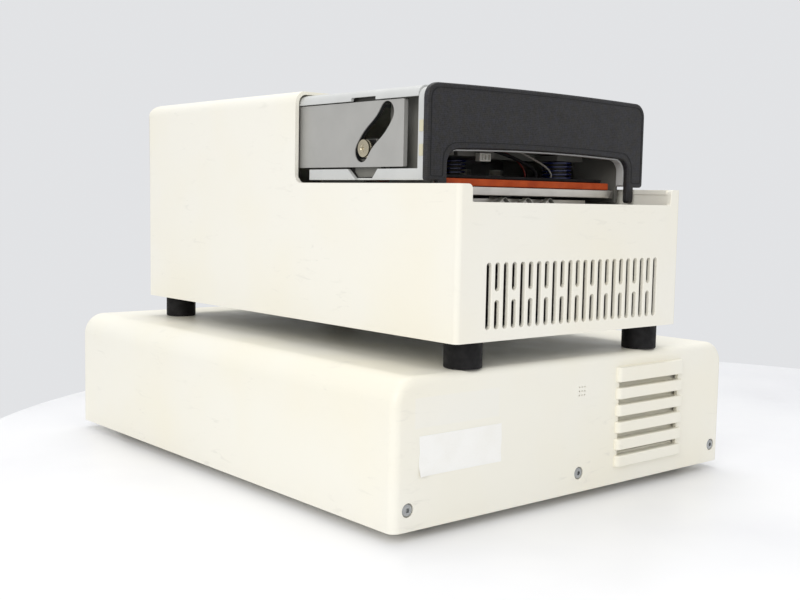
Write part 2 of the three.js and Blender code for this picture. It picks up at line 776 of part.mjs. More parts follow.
// An upright chassis plate beside the thermal stack. The right one also carries the screw's front bearing.
function chassisSide(side) {
  const { inner, outer, front, back, bottom, top } = CHASSIS;
  const plate = box(mirrored(side, inner, outer), [front, back], [bottom, top]);
  if (side < 0) return plate;
  const { halfX, drop, clearance } = BEARING_LUG;
  const run = [BEARING_LUG.front, BEARING_LUG.back];
  const lug = box([SCREW.x - halfX, inner + PAST], run, [SCREW.z - drop, top]);
  const bearing = rod("y", [SCREW.x, SCREW.z], SCREW.radius + clearance, run[0] - PAST, run[1] + PAST, 16);
  return cut(join(plate, lug), bearing);
}

function blockFrame() {
  const { halfX, front, back, bottom, top, clearance } = BLOCK_FRAME;
  const reachX = BLOCK.halfX + clearance;
  const reachY = BLOCK.halfY + clearance;
  return cut(
    box([-halfX, halfX], [front, back], [bottom, top]),
    box([-reachX, reachX], [BLOCK.y - reachY, BLOCK.y + reachY], [bottom - PAST, top + PAST]),
  );
}

// The sample block with a tapered well for each tube.
function sampleBlock() {
  const { halfX, y, halfY, bottom, top } = BLOCK;
  const { columns, rows, pitch, topRadius, bottomRadius, depth, sides } = WELL;
  const wells = [];
  for (let column = 0; column < columns; column += 1) {
    for (let row = 0; row < rows; row += 1) {
      const wellX = (column - (columns - 1) / 2) * pitch;
      const wellY = y + (row - (rows - 1) / 2) * pitch;
      wells.push(rod("z", [wellX, wellY], bottomRadius, top - depth, top + WELL.past, sides, topRadius));
    }
  }
  return cut(box([-halfX, halfX], [y - halfY, y + halfY], [bottom, top]), ...wells);
}

function heatSink() {
  const { halfX, halfY, baseBottom, top, finBottom, fins, finPitch, fin } = SINK;
  const depth = [BLOCK.y - halfY, BLOCK.y + halfY];
  const pieces = [box([-halfX, halfX], depth, [baseBottom, top])];
  for (let i = 0; i < fins; i += 1) {
    const x = (i - (fins - 1) / 2) * finPitch;
    pieces.push(box([x - fin / 2, x + fin / 2], depth, [finBottom, baseBottom + 1]));
  }
  return join(...pieces);
}

function moduleBoard() {
  const { left, right, y, z } = MODULE_BOARD;
  const middle = (left + right) / 2;
  const parts = MODULE_BOARD_PARTS.map((part) => box([middle, part.right], part.y, part.z));
  return join(box([left, right], y, z), ...parts);
}

function leadScrew() {
  const centre = [SCREW.x, SCREW.z];
  const shaft = rod("y", centre, SCREW.radius, SCREW.front, SCREW.back + PAST, 16);
  return join(shaft, rod("y", centre, SCREW.couplingRadius, SCREW.back, SCREW.couplingBack, 16));
}

function driveMotor() {
  const { half, front, back, pilotRadius, pilotDepth, shaftRadius } = MOTOR;
  const centre = [SCREW.x, SCREW.z];
  return join(
    box([SCREW.x - half, SCREW.x + half], [front, back], [SCREW.z - half, SCREW.z + half]),
    rod("y", centre, pilotRadius, front - pilotDepth, front + PAST, 20),
    rod("y", centre, shaftRadius, SCREW.couplingBack + GAP, front + PAST, 12),
  );
}

function motorBracket() {
  const { left, right, front, back, bottom, footTop, top, footBack } = BRACKET;
  const upright = box([left, right], [front, back], [bottom, top]);
  const foot = box([left, right], [front, footBack], [bottom, footTop]);
  const pilotHole = rod("y", [SCREW.x, SCREW.z], MOTOR.pilotRadius + GAP, front - PAST, back + PAST, 20);
  return cut(join(upright, foot), pilotHole);
}

function addModule() {
  const { footRadius, footHeight, footX, footFrontY, footBackY } = MODULE;
  add(cyclerModule, "module_housing", housing(), FINISH.cream);
  const plateHalf = MODULE.width / 2 - HOUSING.wall - BASE_PLATE.sideGap;
  const plateRun = [BASE_PLATE.endGap, MODULE.depth - BASE_PLATE.endGap];
  const basePlate = box([-plateHalf, plateHalf], plateRun, [BASE_PLATE.bottom, BASE_PLATE.top]);
  add(cyclerModule, "module_base_plate", basePlate, FINISH.steel);
  for (const [end, y] of [["front", footFrontY], ["rear", footBackY]]) {
    for (const [hand, side] of SIDES) {
      const foot = rod("z", [0, 0], footRadius, -footHeight + REST_GAP, BASE_PLATE.bottom - REST_GAP, 24);
      add(cyclerModule, `module_foot_${end}_${hand}`, foot, FINISH.blackRubber, [side * footX, y, 0]);
    }
  }
  add(cyclerModule, "module_rear_panel", modulePanel(), FINISH.lightGrey);
  const panelFace = MODULE_PANEL.front + MODULE_PANEL.thickness;
  add(cyclerModule, "module_link_socket", panelSocket(MODULE_LINK, panelFace), FINISH.nickel);
  for (const [hand, side] of SIDES) {
    add(cyclerModule, `chassis_side_${hand}`, chassisSide(side), FINISH.steel);
  }
  add(cyclerModule, "sample_block", sampleBlock(), FINISH.aluminium);
  add(cyclerModule, "block_frame", blockFrame(), FINISH.blackPlastic);
  const { halfX, halfY, bottom, top } = PELTIER;
  const peltiers = box([-halfX, halfX], [BLOCK.y - halfY, BLOCK.y + halfY], [bottom, top]);
  add(cyclerModule, "thermoelectric_layer", peltiers, FINISH.ceramic);
  add(cyclerModule, "heat_sink", heatSink(), FINISH.aluminium);
  addFan(cyclerModule, "module_fan", 0, MODULE_FAN.front, MODULE_FAN.z);
  add(cyclerModule, "module_board", moduleBoard(), FINISH.circuitGreen);
  add(cyclerModule, "lead_screw", leadScrew(), FINISH.steel);
  add(cyclerModule, "drive_motor", driveMotor(), FINISH.blackPlastic);
  add(cyclerModule, "motor_bracket", motorBracket(), FINISH.steel);
}

// ---------------------------------------------------------------- lid

function bezel() {
  const { front, back, halfWidth, bottom, crown, shoulder, cornerRadius } = BEZEL;
  const { legInner, legOuter, legBottom, archCrown, archShoulder, archRadius } = BEZEL;
  const face = prism("y", crownedOutline(halfWidth, bottom, shoulder, crown, cornerRadius), front, back);
  const legs = box([-legOuter, legOuter], [front, back], [legBottom, bottom + PAST]);
  const arch = crownedOutline(legInner, legBottom - PAST, archShoulder, archCrown, archRadius);
  return cut(join(face, legs), prism("y", arch, front - PAST, back + PAST));
}

// The light frame behind the bezel, in one moulding with the two lower rails.
function lidFrame() {
  const { front, back, halfWidth, bottom, top, cornerRadius, inner, archTop } = LID_FRAME;
  const plate = prism("y", archOutline(halfWidth, bottom, top, cornerRadius), front, back);
  const arch = box([-inner, inner], [front - PAST, back + PAST], [bottom - PAST, archTop]);
  return join(cut(plate, arch), ...SIDES.map(([, side]) => lidRail(side)));
}

function lidRail(side) {
  const { inner, outer, back, bottom, top, webInner, webTop } = LID_RAIL;
  const { topFront, topBack, bottomFront, bottomBack, z, radius } = RAIL_NOTCH;
  const run = [LID_FRAME.back - PAST, back];
  const strip = box(mirrored(side, inner, outer), run, [bottom, top]);
  const web = box(mirrored(side, webInner, outer), run, [bottom, webTop]);
  const notch = outline([
    [topFront, top + PAST],
    [bottomFront, z, radius],
    [bottomBack, z, radius],
    [topBack, top + PAST],
  ]);
  return cut(join(strip, web), prism("x", notch, side * (inner - PAST), side * (outer + PAST), 3));
}

function lidShell() {
  const { halfWidth, front, back, bottom, top, wall, radius } = SHELL;
  const outside = prism("y", archOutline(halfWidth, bottom, top, radius), front, back);
  const inside = archOutline(halfWidth - wall, bottom - PAST, top - wall, radius - wall);
  const notchRun = [SHELL_NOTCH.front, SHELL_NOTCH.back];
  const notchHeight = [bottom - PAST, SHELL_NOTCH.top];
  const notches = SIDES.map(([, side]) =>
    box(mirrored(side, halfWidth - wall - PAST, halfWidth + PAST), notchRun, notchHeight),
  );
  return cut(outside, prism("y", inside, front - PAST, back + PAST), ...notches);
}

// A lid side wall, open from above where the platen's lifting arm runs up and down.
function lidWall(side) {
  const { inner, outer, front, back, bottom, top } = LID_WALL;
  const slotRun = [WALL_SLOT.front, WALL_SLOT.back];
  return cut(
    box(mirrored(side, inner, outer), [front, back], [bottom, top]),
    box(mirrored(side, inner - PAST, outer + PAST), slotRun, [WALL_SLOT.bottom, top + PAST]),
  );
}

// The cam slot's middle line: a straight run, bowed a little at both ends, low at the back and high in
// front.
function camLine() {
  const { lowY, lowZ, highY, highZ, bow, steps } = CAM_SLOT;
  const run = new THREE.Vector2(highY - lowY, highZ - lowZ);
  const across = new THREE.Vector2(-run.y, run.x).normalize();
  return Array.from({ length: steps + 1 }, (_, i) => {
    const t = i / steps;
    const sway = bow * Math.sin(2 * Math.PI * t);
    return new THREE.Vector2(lowY + run.x * t, lowZ + run.y * t).addScaledVector(across, -sway);
  });
}

function camSlotOutline() {
  const line = camLine();
  const { halfWidth } = CAM_SLOT;
  const clamped = (i) => line[THREE.MathUtils.clamp(i, 0, line.length - 1)];
  const heading = (i) => clamped(i + 1).clone().sub(clamped(i - 1)).angle();
  const along = (i, turn) => {
    const angle = heading(i) + turn;
    return new THREE.Vector2(Math.cos(angle), Math.sin(angle)).multiplyScalar(halfWidth).add(line[i]);
  };
  const last = line.length - 1;
  const quarter = Math.PI / 2;
  const turns = [0.5, 0, -0.5];
  return new THREE.Shape([
    ...line.map((_, i) => along(i, quarter)),
    ...turns.map((turn) => along(last, turn * quarter)),
    ...line.map((_, i) => along(last - i, -quarter)),
    ...turns.map((turn) => along(0, turn * quarter + Math.PI)),
  ]);
}

function camPlate(side) {
  const { inner, outer, front, back, bottom, top } = CAM;
  const plate = box(mirrored(side, inner, outer), [front, back], [bottom, top]);
  return cut(plate, prism("x", camSlotOutline(), side * (inner - PAST), side * (outer + PAST)));
}

// The bar between the cam plates, with an arm down to the drive nut.
function camCrossbar() {
  const { front, back, bottom, top, armHalf, armBottom } = CROSSBAR;
  const reach = CAM.inner - GAP;
  return cut(
    join(
      box([-reach, reach], [front, back], [bottom, top]),
      box([SCREW.x - armHalf, SCREW.x + armHalf], [front, back], [armBottom, bottom + PAST]),
    ),
    rod("y", [SCREW.x, SCREW.z], NUT.radius + GAP, front - PAST, back + PAST, 16),
  );
}

function driveNut() {
  const centre = [SCREW.x, SCREW.z];
  return cut(
    join(
      rod("y", centre, NUT.flangeRadius, NUT.front, NUT.flangeBack, 20),
      rod("y", centre, NUT.radius, NUT.flangeBack - PAST, NUT.back, 16),
    ),
    rod("y", centre, NUT.bore, NUT.front - PAST, NUT.back + PAST, 16),
  );
}

// ---------------------------------------------------------------- platen

// The lifting frame: a cross beam with a seat over each spring, a terminal shelf, and an arm and axle at
// each end.
function liftFrame() {
  const { halfX, front, back, bottom, plateTop, top } = LIFT;
  const { sideX, sideFront, rearHalf, rearBack } = SPRING_SEAT;
  const pieces = [
    box([-halfX, halfX], [front, back], [bottom, top]),
    box(LIFT_SHELF.x, [LIFT_SHELF.front, front + PAST], [bottom, plateTop]),
    box([-rearHalf, rearHalf], [back - PAST, rearBack], [bottom, plateTop]),
  ];
  for (const [, side] of SIDES) {
    pieces.push(box(mirrored(side, ...sideX), [sideFront, front + PAST], [bottom, plateTop]));
    pieces.push(box(mirrored(side, halfX - PAST, LIFT_ARM.inner + PAST), LIFT_ARM.y, [bottom, top]));
    pieces.push(prism("x", liftArmOutline(), side * LIFT_ARM.inner, side * LIFT_ARM.outer));
    const axleEnds = mirrored(side, LIFT_ARM.outer - PAST, ROLLER.outer);
    pieces.push(rod("x", [ROLLER.y, ROLLER.z], ROLLER.axle, ...axleEnds, 16));
  }
  return join(...pieces);
}

function liftArmOutline() {
  return outline([
    [84, 94],
    [103, 94],
    [106.3, 97.5],
    [106.3, 101],
    [102, 105],
    [102, 117.5],
    [85, 117.5],
    [85, 105],
    [80.7, 101],
    [80.7, 97.5],
  ]);
}

// A compression spring as a plain sleeve of its outer and inner diameters.
function springSleeve() {
  return cut(
    rod("z", [0, 0], SPRING.radius, SPRING.bottom, SPRING.top, 16),
    rod("z", [0, 0], SPRING.bore, SPRING.bottom - PAST, SPRING.top + PAST, 12),
  );
}

function roller(side) {
  const span = mirrored(side, ROLLER.inner, ROLLER.outer);
  const disc = rod("x", [0, 0], ROLLER.radius, ...span, 20);
  const through = mirrored(side, ROLLER.inner - PAST, ROLLER.outer + PAST);
  return cut(disc, rod("x", [0, 0], ROLLER.bore, ...through, 16));
}

// The heater's lead: from the terminal block in an easy arch down to the backing plate.
function heaterLead() {
  const route = new THREE.CatmullRomCurve3(LEAD_ROUTE.map((point) => new THREE.Vector3(...point)));
  const section = new THREE.Shape();
  section.absarc(0, 0, LEAD.radius, 0, 2 * Math.PI);
  return new THREE.ExtrudeGeometry(section, {
    extrudePath: route,
    steps: LEAD.steps,
    curveSegments: LEAD.sides / 2,
    bevelEnabled: false,
  });
}

function addLid() {
  add(cyclerModule, "lid_bezel", bezel(), FINISH.charcoal);
  add(cyclerModule, "lid_frame", lidFrame(), FINISH.lightGrey);
  add(cyclerModule, "lid_top_shell", lidShell(), FINISH.lightGrey);
  for (const [hand, side] of SIDES) {
    add(cyclerModule, `lid_wall_${hand}`, lidWall(side), FINISH.darkGrey);
    add(cyclerModule, `cam_plate_${hand}`, camPlate(side), FINISH.camGrey);
  }
  add(cyclerModule, "cam_crossbar", camCrossbar(), FINISH.steel);
  add(cyclerModule, "drive_nut", driveNut(), FINISH.brass);
}

function addPlaten() {
  const platenBlock = ({ halfX, front, back, bottom, top }) =>
    box([-halfX, halfX], [front, back], [bottom, top]);
  add(cyclerModule, "heated_plate", platenBlock(PLATEN), FINISH.aluminium);
  const pad = { ...PAD, front: PLATEN.front + PAD.inset, back: PLATEN.back - PAD.inset };
  add(cyclerModule, "silicone_pad", platenBlock(pad), FINISH.silicone);
  add(cyclerModule, "backing_plate", platenBlock(BACKING), FINISH.darkGrey);
  add(cyclerModule, "lift_frame", liftFrame(), FINISH.camGrey);
  for (const [place, [x, y]] of Object.entries(SPRING_SPOTS)) {
    add(cyclerModule, `platen_spring_${place}`, springSleeve(), FINISH.springBlue, [x, y, 0]);
  }
  for (const [hand, side] of SIDES) {
    add(cyclerModule, `roller_${hand}`, roller(side), FINISH.nickel, [0, ROLLER.y, ROLLER.z]);
  }
  add(cyclerModule, "terminal_block", box(TERMINALS.x, TERMINALS.y, TERMINALS.z), FINISH.whitePlastic);
  add(cyclerModule, "heater_lead", heaterLead(), FINISH.blackRubber);
}

addControlUnit();
addModule();
addLid();
addPlaten();

export default cycler;
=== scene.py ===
"""The looks of a bench thermal cycler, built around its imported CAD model.

Shapes are written in millimetres in one of two local frames, the control unit's and the cycler module's:
x from the unit's middle, y back from its front face, z up from its lower edge.
"""
import math

import bmesh
import bpy
from mathutils import Matrix, Vector


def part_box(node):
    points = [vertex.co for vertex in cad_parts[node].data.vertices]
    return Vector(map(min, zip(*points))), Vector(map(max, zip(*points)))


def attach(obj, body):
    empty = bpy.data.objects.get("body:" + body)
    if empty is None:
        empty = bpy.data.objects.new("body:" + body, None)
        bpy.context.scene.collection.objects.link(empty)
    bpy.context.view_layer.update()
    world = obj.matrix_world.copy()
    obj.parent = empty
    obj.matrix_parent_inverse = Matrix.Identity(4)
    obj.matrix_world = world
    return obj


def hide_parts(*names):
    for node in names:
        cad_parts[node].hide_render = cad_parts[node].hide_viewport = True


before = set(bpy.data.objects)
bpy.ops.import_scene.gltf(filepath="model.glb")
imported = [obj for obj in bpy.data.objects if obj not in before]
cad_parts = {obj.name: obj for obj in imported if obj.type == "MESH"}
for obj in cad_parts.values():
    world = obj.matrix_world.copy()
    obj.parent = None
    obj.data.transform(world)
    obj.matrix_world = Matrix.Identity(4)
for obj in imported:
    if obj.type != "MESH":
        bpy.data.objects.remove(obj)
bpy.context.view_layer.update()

# ---------------------------------------------------------------- frames and sizes

MM = 0.001
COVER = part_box("control_cover")
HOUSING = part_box("module_housing")
CONTROL_DEPTH = 394
CONTROL = Vector(((COVER[0].x + COVER[1].x) / 2, COVER[1].y - CONTROL_DEPTH * MM, COVER[0].z))
MODULE = Vector(((HOUSING[0].x + HOUSING[1].x) / 2, HOUSING[0].y, HOUSING[0].z))


def local_box(node, origin):
    """A CAD node's lowest and highest corners in millimetres in a local frame."""
    low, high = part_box(node)
    return (low - origin) / MM, (high - origin) / MM


# ---------------------------------------------------------------- outlines and meshes

def fillet(points, steps=6):
    """A closed outline through (u, v) points; a third value rounds that corner with a true arc."""
    out = []
    for i, (u, v, *rest) in enumerate(points):
        radius = rest[0] if rest else 0
        if radius <= 0:
            out.append((u, v))
            continue
        corner = Vector((u, v))
        back = (Vector(points[i - 1][:2]) - corner).normalized()
        ahead = (Vector(points[(i + 1) % len(points)][:2]) - corner).normalized()
        half = back.angle(ahead) / 2
        centre = corner + (back + ahead).normalized() * radius / math.sin(half)
        start = corner + back * radius / math.tan(half) - centre
        end = corner + ahead * radius / math.tan(half) - centre
        first = math.atan2(start.y, start.x)
        sweep = (math.atan2(end.y, end.x) - first + math.pi) % (2 * math.pi) - math.pi
        for k in range(steps + 1):
            angle = first + sweep * k / steps
            out.append((centre.x + radius * math.cos(angle), centre.y + radius * math.sin(angle)))
    return out


def rectangle(u0, u1, v0, v1, radius=0, steps=4):
    return fillet([(u0, v0, radius), (u1, v0, radius), (u1, v1, radius), (u0, v1, radius)], steps)


def arch(half, bottom, top, radius, steps=10):
    return fillet([(half, bottom), (half, top, radius), (-half, top, radius), (-half, bottom)], steps)


def circle(radius, sides, centre=(0, 0), turn=0.0):
    angles = [turn + 2 * math.pi * k / sides for k in range(sides)]
    return [(centre[0] + radius * math.cos(a), centre[1] + radius * math.sin(a)) for a in angles]


PLACE = {
    "x": lambda u, v, w: (w, u, v),
    "y": lambda u, v, w: (u, w, v),
    "z": lambda u, v, w: (u, v, w),
}


def prism(axis, points, low, high):
    """A solid from an outline in the two other axes, in x, y, z order."""
    bm = bmesh.new()
    near = [bm.verts.new(PLACE[axis](u, v, low)) for u, v in points]
    far = [bm.verts.new(PLACE[axis](u, v, high)) for u, v in points]
    bm.faces.new(near)
    bm.faces.new(far)
    for i in range(len(points)):
        bm.faces.new((near[i - 1], near[i], far[i], far[i - 1]))
    bmesh.ops.recalc_face_normals(bm, faces=bm.faces)
    return bm


def lofted(axis, sections):
    """A solid through outlines with equal point counts, given as (outline, height) in order along an axis."""
    bm = bmesh.new()
    rings = [[bm.verts.new(PLACE[axis](u, v, height)) for u, v in outline] for outline, height in sections]
    bm.faces.new(rings[0])
    bm.faces.new(rings[-1])
    for a, b in zip(rings, rings[1:]):
        for i in range(len(a)):
            bm.faces.new((a[i - 1], a[i], b[i], b[i - 1]))
    bmesh.ops.recalc_face_normals(bm, faces=bm.faces)
    return bm


def lipped(axis, outline, face, inward, end, lip=0.5):
    """A cutter whose outline(extra) flares by a soft lip at a face and runs inward to an end."""
    stages = ((-1.5, 1.0), (0.02, 1.0), (0.12, 0.62), (0.3, 0.3), (0.6, 0.08), (1.0, 0.0))
    sections = [(outline(share * lip), face + inward * depth * lip) for depth, share in stages]
    return lofted(axis, sections + [(outline(0.0), end)])


def block(x, y, z, radius=0, steps=4):
    """A box; radius rounds its upright corners."""
    return prism("z", rectangle(*x, *y, radius, steps), *z)


def turned(axis, profile, sides=32, centre=(0, 0)):
    """A turned solid from (radius, height) points that start and end on the axis or close on themselves."""
    bm = bmesh.new()
    rings = []
    for radius, height in profile:
        if radius < 1e-6:
            rings.append([bm.verts.new(PLACE[axis](*centre, height))])
        else:
            rings.append([bm.verts.new(PLACE[axis](u, v, height)) for u, v in circle(radius, sides, centre)])
    closed = profile[0][0] > 1e-6
    pairs = zip(rings, rings[1:] + rings[:1]) if closed else zip(rings, rings[1:])
    for a, b in pairs:
        for k in range(sides):
            corners = [a[k % len(a)], a[(k + 1) % sides % len(a)], b[(k + 1) % sides % len(b)], b[k % len(b)]]
            unique = list(dict.fromkeys(corners))
            if len(unique) > 2:
                bm.faces.new(unique)
    bmesh.ops.recalc_face_normals(bm, faces=bm.faces)
    return bm


def swept(points, radius, sides=10):
    """A round tube along a list of points."""
    bm = bmesh.new()
    path = [Vector(p) for p in points]
    rings = []
    side = None
    for i, point in enumerate(path):
        along = (path[min(i + 1, len(path) - 1)] - path[max(i - 1, 0)]).normalized()
        if side is None:
            side = along.orthogonal().normalized()
        side = (side - along * side.dot(along)).normalized()
        up = along.cross(side)
        ring = [point + side * u + up * v for u, v in circle(radius, sides)]
        rings.append([bm.verts.new(p) for p in ring])
    for a, b in zip(rings, rings[1:]):
        for k in range(sides):
            bm.faces.new((a[k - 1], a[k], b[k], b[k - 1]))
    bm.faces.new(rings[0])
    bm.faces.new(rings[-1])
    bmesh.ops.recalc_face_normals(bm, faces=bm.faces)
    return bm


def smooth_path(points, per_span=8):
    """A Catmull-Rom run of points through the given ones."""
    knots = [Vector(p) for p in points]
    knots = [2 * knots[0] - knots[1]] + knots + [2 * knots[-1] - knots[-2]]
    out = []
    for a, b, c, d in zip(knots, knots[1:], knots[2:], knots[3:]):
        for k in range(per_span):
            t = k / per_span
            out.append(0.5 * (2 * b + (c - a) * t + (2 * a - 5 * b + 4 * c - d) * t**2
                              + (3 * b - a - 3 * c + d) * t**3))
    return out + [knots[-2]]


def joined(*parts):
    """Several meshes as one, each kept as its own shell."""
    whole = bmesh.new()
    for part in parts:
        mesh = bpy.data.meshes.new("part")
        part.to_mesh(mesh)
        part.free()
        whole.from_mesh(mesh)
        bpy.data.meshes.remove(mesh)
    return whole


def moved(bm, x=0.0, y=0.0, z=0.0):
    bmesh.ops.translate(bm, vec=(x, y, z), verts=bm.verts)
    return bm


def rotated(bm, angle, axis):
    bmesh.ops.rotate(bm, cent=(0, 0, 0), matrix=Matrix.Rotation(angle, 3, axis), verts=bm.verts)
    return bm


def temporary(bm):
    mesh = bpy.data.meshes.new("work")
    bm.to_mesh(mesh)
    bm.free()
    obj = bpy.data.objects.new("work", mesh)
    bpy.context.scene.collection.objects.link(obj)
    return obj


def result_of(obj):
    """The bmesh of an object after its modifiers; the object is removed."""
    bpy.context.view_layer.update()
    graph = bpy.context.evaluated_depsgraph_get()
    bm = bmesh.new()
    bm.from_object(obj, graph)
    bpy.data.meshes.remove(obj.data)
    return bm


def boolean(bm, tools, operation):
    """Tools go in one after another; each is one closed solid, or several that stand clear of each other."""
    obj = temporary(bm)
    helpers = [temporary(tool) for tool in tools]
    for helper in helpers:
        step = obj.modifiers.new("step", "BOOLEAN")
        step.operation = operation
        step.solver = "MANIFOLD"
        step.object = helper
    out = result_of(obj)
    for helper in helpers:
        bpy.data.meshes.remove(helper.data)
    bmesh.ops.remove_doubles(out, verts=out.verts, dist=1e-4)
    bmesh.ops.dissolve_degenerate(out, edges=out.edges, dist=1e-4)
    bmesh.ops.dissolve_limit(out, angle_limit=math.radians(0.5), verts=out.verts, edges=out.edges)
    return out


def carved(bm, *tools):
    return boolean(bm, tools, "DIFFERENCE")


def shared(bm, other):
    return boolean(bm, [other], "INTERSECT")


def fused(bm, *others):
    return boolean(bm, others, "UNION")


def folded(bm):
    """How much area folds over itself, as a bevel can leave it where one face surrounds several holes."""
    bm.normal_update()
    area = 0
    for loops in bm.calc_loop_triangles():
        a, b, c = (loop.vert.co for loop in loops)
        across = (b - a).cross(c - a)
        if across.dot(loops[0].face.normal) < 0:
            area += across.length / 2
    return area


def bevelled(bm, width, segments, angle, clamp, split):
    """Rounds the sharp edges of a copy; split turns its many-sided faces into triangles first."""
    copy = bm.copy()
    if split:
        bmesh.ops.triangulate(copy, faces=[face for face in copy.faces if len(face.verts) > 4])
    obj = temporary(copy)
    step = obj.modifiers.new("ease", "BEVEL")
    step.width = width
    step.segments = segments
    step.limit_method = "ANGLE"
    step.angle_limit = math.radians(angle)
    step.use_clamp_overlap = clamp
    step.loop_slide = not split
    step.miter_outer = "MITER_ARC"
    return result_of(obj)


def eased(bm, width, segments=2, angle=35, clamp=True):
    """Every edge sharper than the angle gets a rounded bevel: the first of four tries that doesn't fold."""
    best = None
    for share, split in ((1, False), (1, True), (0.5, False), (0.5, True)):
        out = bevelled(bm, width * share, segments, angle, clamp, split)
        if best is None or folded(out) < folded(best):
            best = out
        if folded(best) < 0.01:
            break
    return best


def rounded_ring(bm, width, segments, keep):
    """Rounds only the edges that a test picks from their two ends."""
    edges = [e for e in bm.edges if keep(e.verts[0].co, e.verts[1].co) and e.calc_face_angle(0) > 0.5]
    bmesh.ops.bevel(bm, geom=edges, offset=width, segments=segments, profile=0.5, affect="EDGES",
                    clamp_overlap=False)
    return bm


def node_mesh(node, origin):
    """A CAD node's mesh in millimetres in a local frame."""
    bm = bmesh.new()
    bm.from_mesh(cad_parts[node].data)
    into_frame = Matrix.Scale(1 / MM, 4) @ Matrix.Translation(-origin)
    bmesh.ops.transform(bm, matrix=into_frame, verts=bm.verts)
    bmesh.ops.remove_doubles(bm, verts=bm.verts, dist=2e-3)
    return bm


def from_node(node, origin):
    """A CAD node's shape with its flat faces whole, ready to be eased."""
    bm = node_mesh(node, origin)
    bmesh.ops.dissolve_limit(bm, angle_limit=math.radians(1), verts=bm.verts, edges=bm.edges)
    return bm


# ---------------------------------------------------------------- materials

LOOK = "_look"


class Finish:
    """A node-based material: colour, roughness and relief each vary over the surface."""

    def __init__(self, name, roughness, metallic=0.0, **sockets):
        self.material = bpy.data.materials.new(name + LOOK)
        self.material.use_nodes = True
        self.nodes = self.material.node_tree.nodes
        self.shader = self.nodes["Principled BSDF"]
        self.shader.inputs["Metallic"].default_value = metallic
        self.shader.inputs["Roughness"].default_value = roughness
        for socket, value in sockets.items():
            self.shader.inputs[socket.replace("_", " ")].default_value = value
        self.place = self.nodes.new("ShaderNodeTexCoord").outputs["Object"]
        self.relief = None

    def link(self, out, into):
        self.material.node_tree.links.new(out, into)

    def stretched(self, x, y, z):
        step = self.nodes.new("ShaderNodeMapping")
        step.inputs["Scale"].default_value = (x, y, z)
        self.link(self.place, step.inputs["Vector"])
        return step.outputs["Vector"]

    def noise(self, size, detail=3.0, place=None, distortion=0.0):
        """A noise whose blotches are about size millimetres wide."""
        step = self.nodes.new("ShaderNodeTexNoise")
        step.inputs["Scale"].default_value = 1 / (size * MM)
        step.inputs["Detail"].default_value = detail
        step.inputs["Distortion"].default_value = distortion
        self.link(place or self.place, step.inputs["Vector"])
        return step.outputs["Fac"]

    def cells(self, size, feature="F1", place=None):
        step = self.nodes.new("ShaderNodeTexVoronoi")
        step.feature = feature
        step.inputs["Scale"].default_value = 1 / (size * MM)
        self.link(place or self.place, step.inputs["Vector"])
        return step.outputs["Distance"]

    def within(self, x, z, depth):
        """1 inside a rectangle: its low and high x and z, and the furthest y, in metres."""
        parts = self.nodes.new("ShaderNodeSeparateXYZ")
        self.link(self.place, parts.inputs[0])
        inside = self.math("LESS_THAN", parts.outputs[1], depth)
        for axis, (low, high) in ((0, x), (2, z)):
            value = parts.outputs[axis]
            inside = self.math("MULTIPLY", inside, self.ranged(value, low, low + MM, 0.0, 1.0))
            inside = self.math("MULTIPLY", inside, self.ranged(value, high - MM, high, 1.0, 0.0))
        return inside

    def weave(self, size, direction):
        step = self.nodes.new("ShaderNodeTexWave")
        step.bands_direction = direction
        step.inputs["Scale"].default_value = 0.314 / (size * MM)
        step.inputs["Distortion"].default_value = 4.0
        step.inputs["Detail"].default_value = 2.0
        step.inputs["Detail Scale"].default_value = 3.0
        self.link(self.place, step.inputs["Vector"])
        return step.outputs["Fac"]

    def ranged(self, value, low, high, to_low, to_high):
        step = self.nodes.new("ShaderNodeMapRange")
        for socket, number in zip(("From Min", "From Max", "To Min", "To Max"), (low, high, to_low, to_high)):
            step.inputs[socket].default_value = number
        self.link(value, step.inputs["Value"])
        return step.outputs["Result"]

    def math(self, operation, a, b):
        step = self.nodes.new("ShaderNodeMath")
        step.operation = operation
        for socket, value in zip(step.inputs, (a, b)):
            if isinstance(value, float):
                socket.default_value = value
            else:
                self.link(value, socket)
        return step.outputs[0]

    def mixed(self, factor, a, b):
        step = self.nodes.new("ShaderNodeMix")
        step.data_type = "RGBA"
        self.link(factor, step.inputs[0])
        for socket, value in ((step.inputs[6], a), (step.inputs[7], b)):
            if isinstance(value, tuple):
                socket.default_value = (*value, 1)
            else:
                self.link(value, socket)
        return step.outputs[2]

    def colour(self, value):
        self.link(value, self.shader.inputs["Base Color"])
        return self

    def roughness(self, value):
        self.link(value, self.shader.inputs["Roughness"])
        return self

    def bump(self, value, height, strength=1.0):
        """Adds relief of about height millimetres on top of any already there."""
        step = self.nodes.new("ShaderNodeBump")
        step.inputs["Distance"].default_value = height * MM
        step.inputs["Strength"].default_value = strength
        self.link(value, step.inputs["Height"])
        if self.relief is not None:
            self.link(self.relief, step.inputs["Normal"])
        self.relief = step.outputs["Normal"]
        self.link(self.relief, self.shader.inputs["Normal"])
        return self

    def edges(self, radius):
        """1 on edges and corners sharper than the radius, 0 on flat stretches."""
        soft = self.nodes.new("ShaderNodeBevel")
        soft.samples = 4
        soft.inputs["Radius"].default_value = radius * MM
        flat = self.nodes.new("ShaderNodeNewGeometry")
        dot = self.nodes.new("ShaderNodeVectorMath")
        dot.operation = "DOT_PRODUCT"
        self.link(soft.outputs["Normal"], dot.inputs[0])
        self.link(flat.outputs["Normal"], dot.inputs[1])
        return self.ranged(dot.outputs["Value"], 0.99, 0.80, 0.0, 1.0)


def linear(red, green, blue):
    """A colour given as 0 to 255 display values, in the shader's linear values."""
    def channel(value):
        value /= 255
        return value / 12.92 if value <= 0.04045 else ((value + 0.055) / 1.055) ** 2.4
    return channel(red), channel(green), channel(blue)


def shade(colour, factor):
    return tuple(channel * factor for channel in colour)


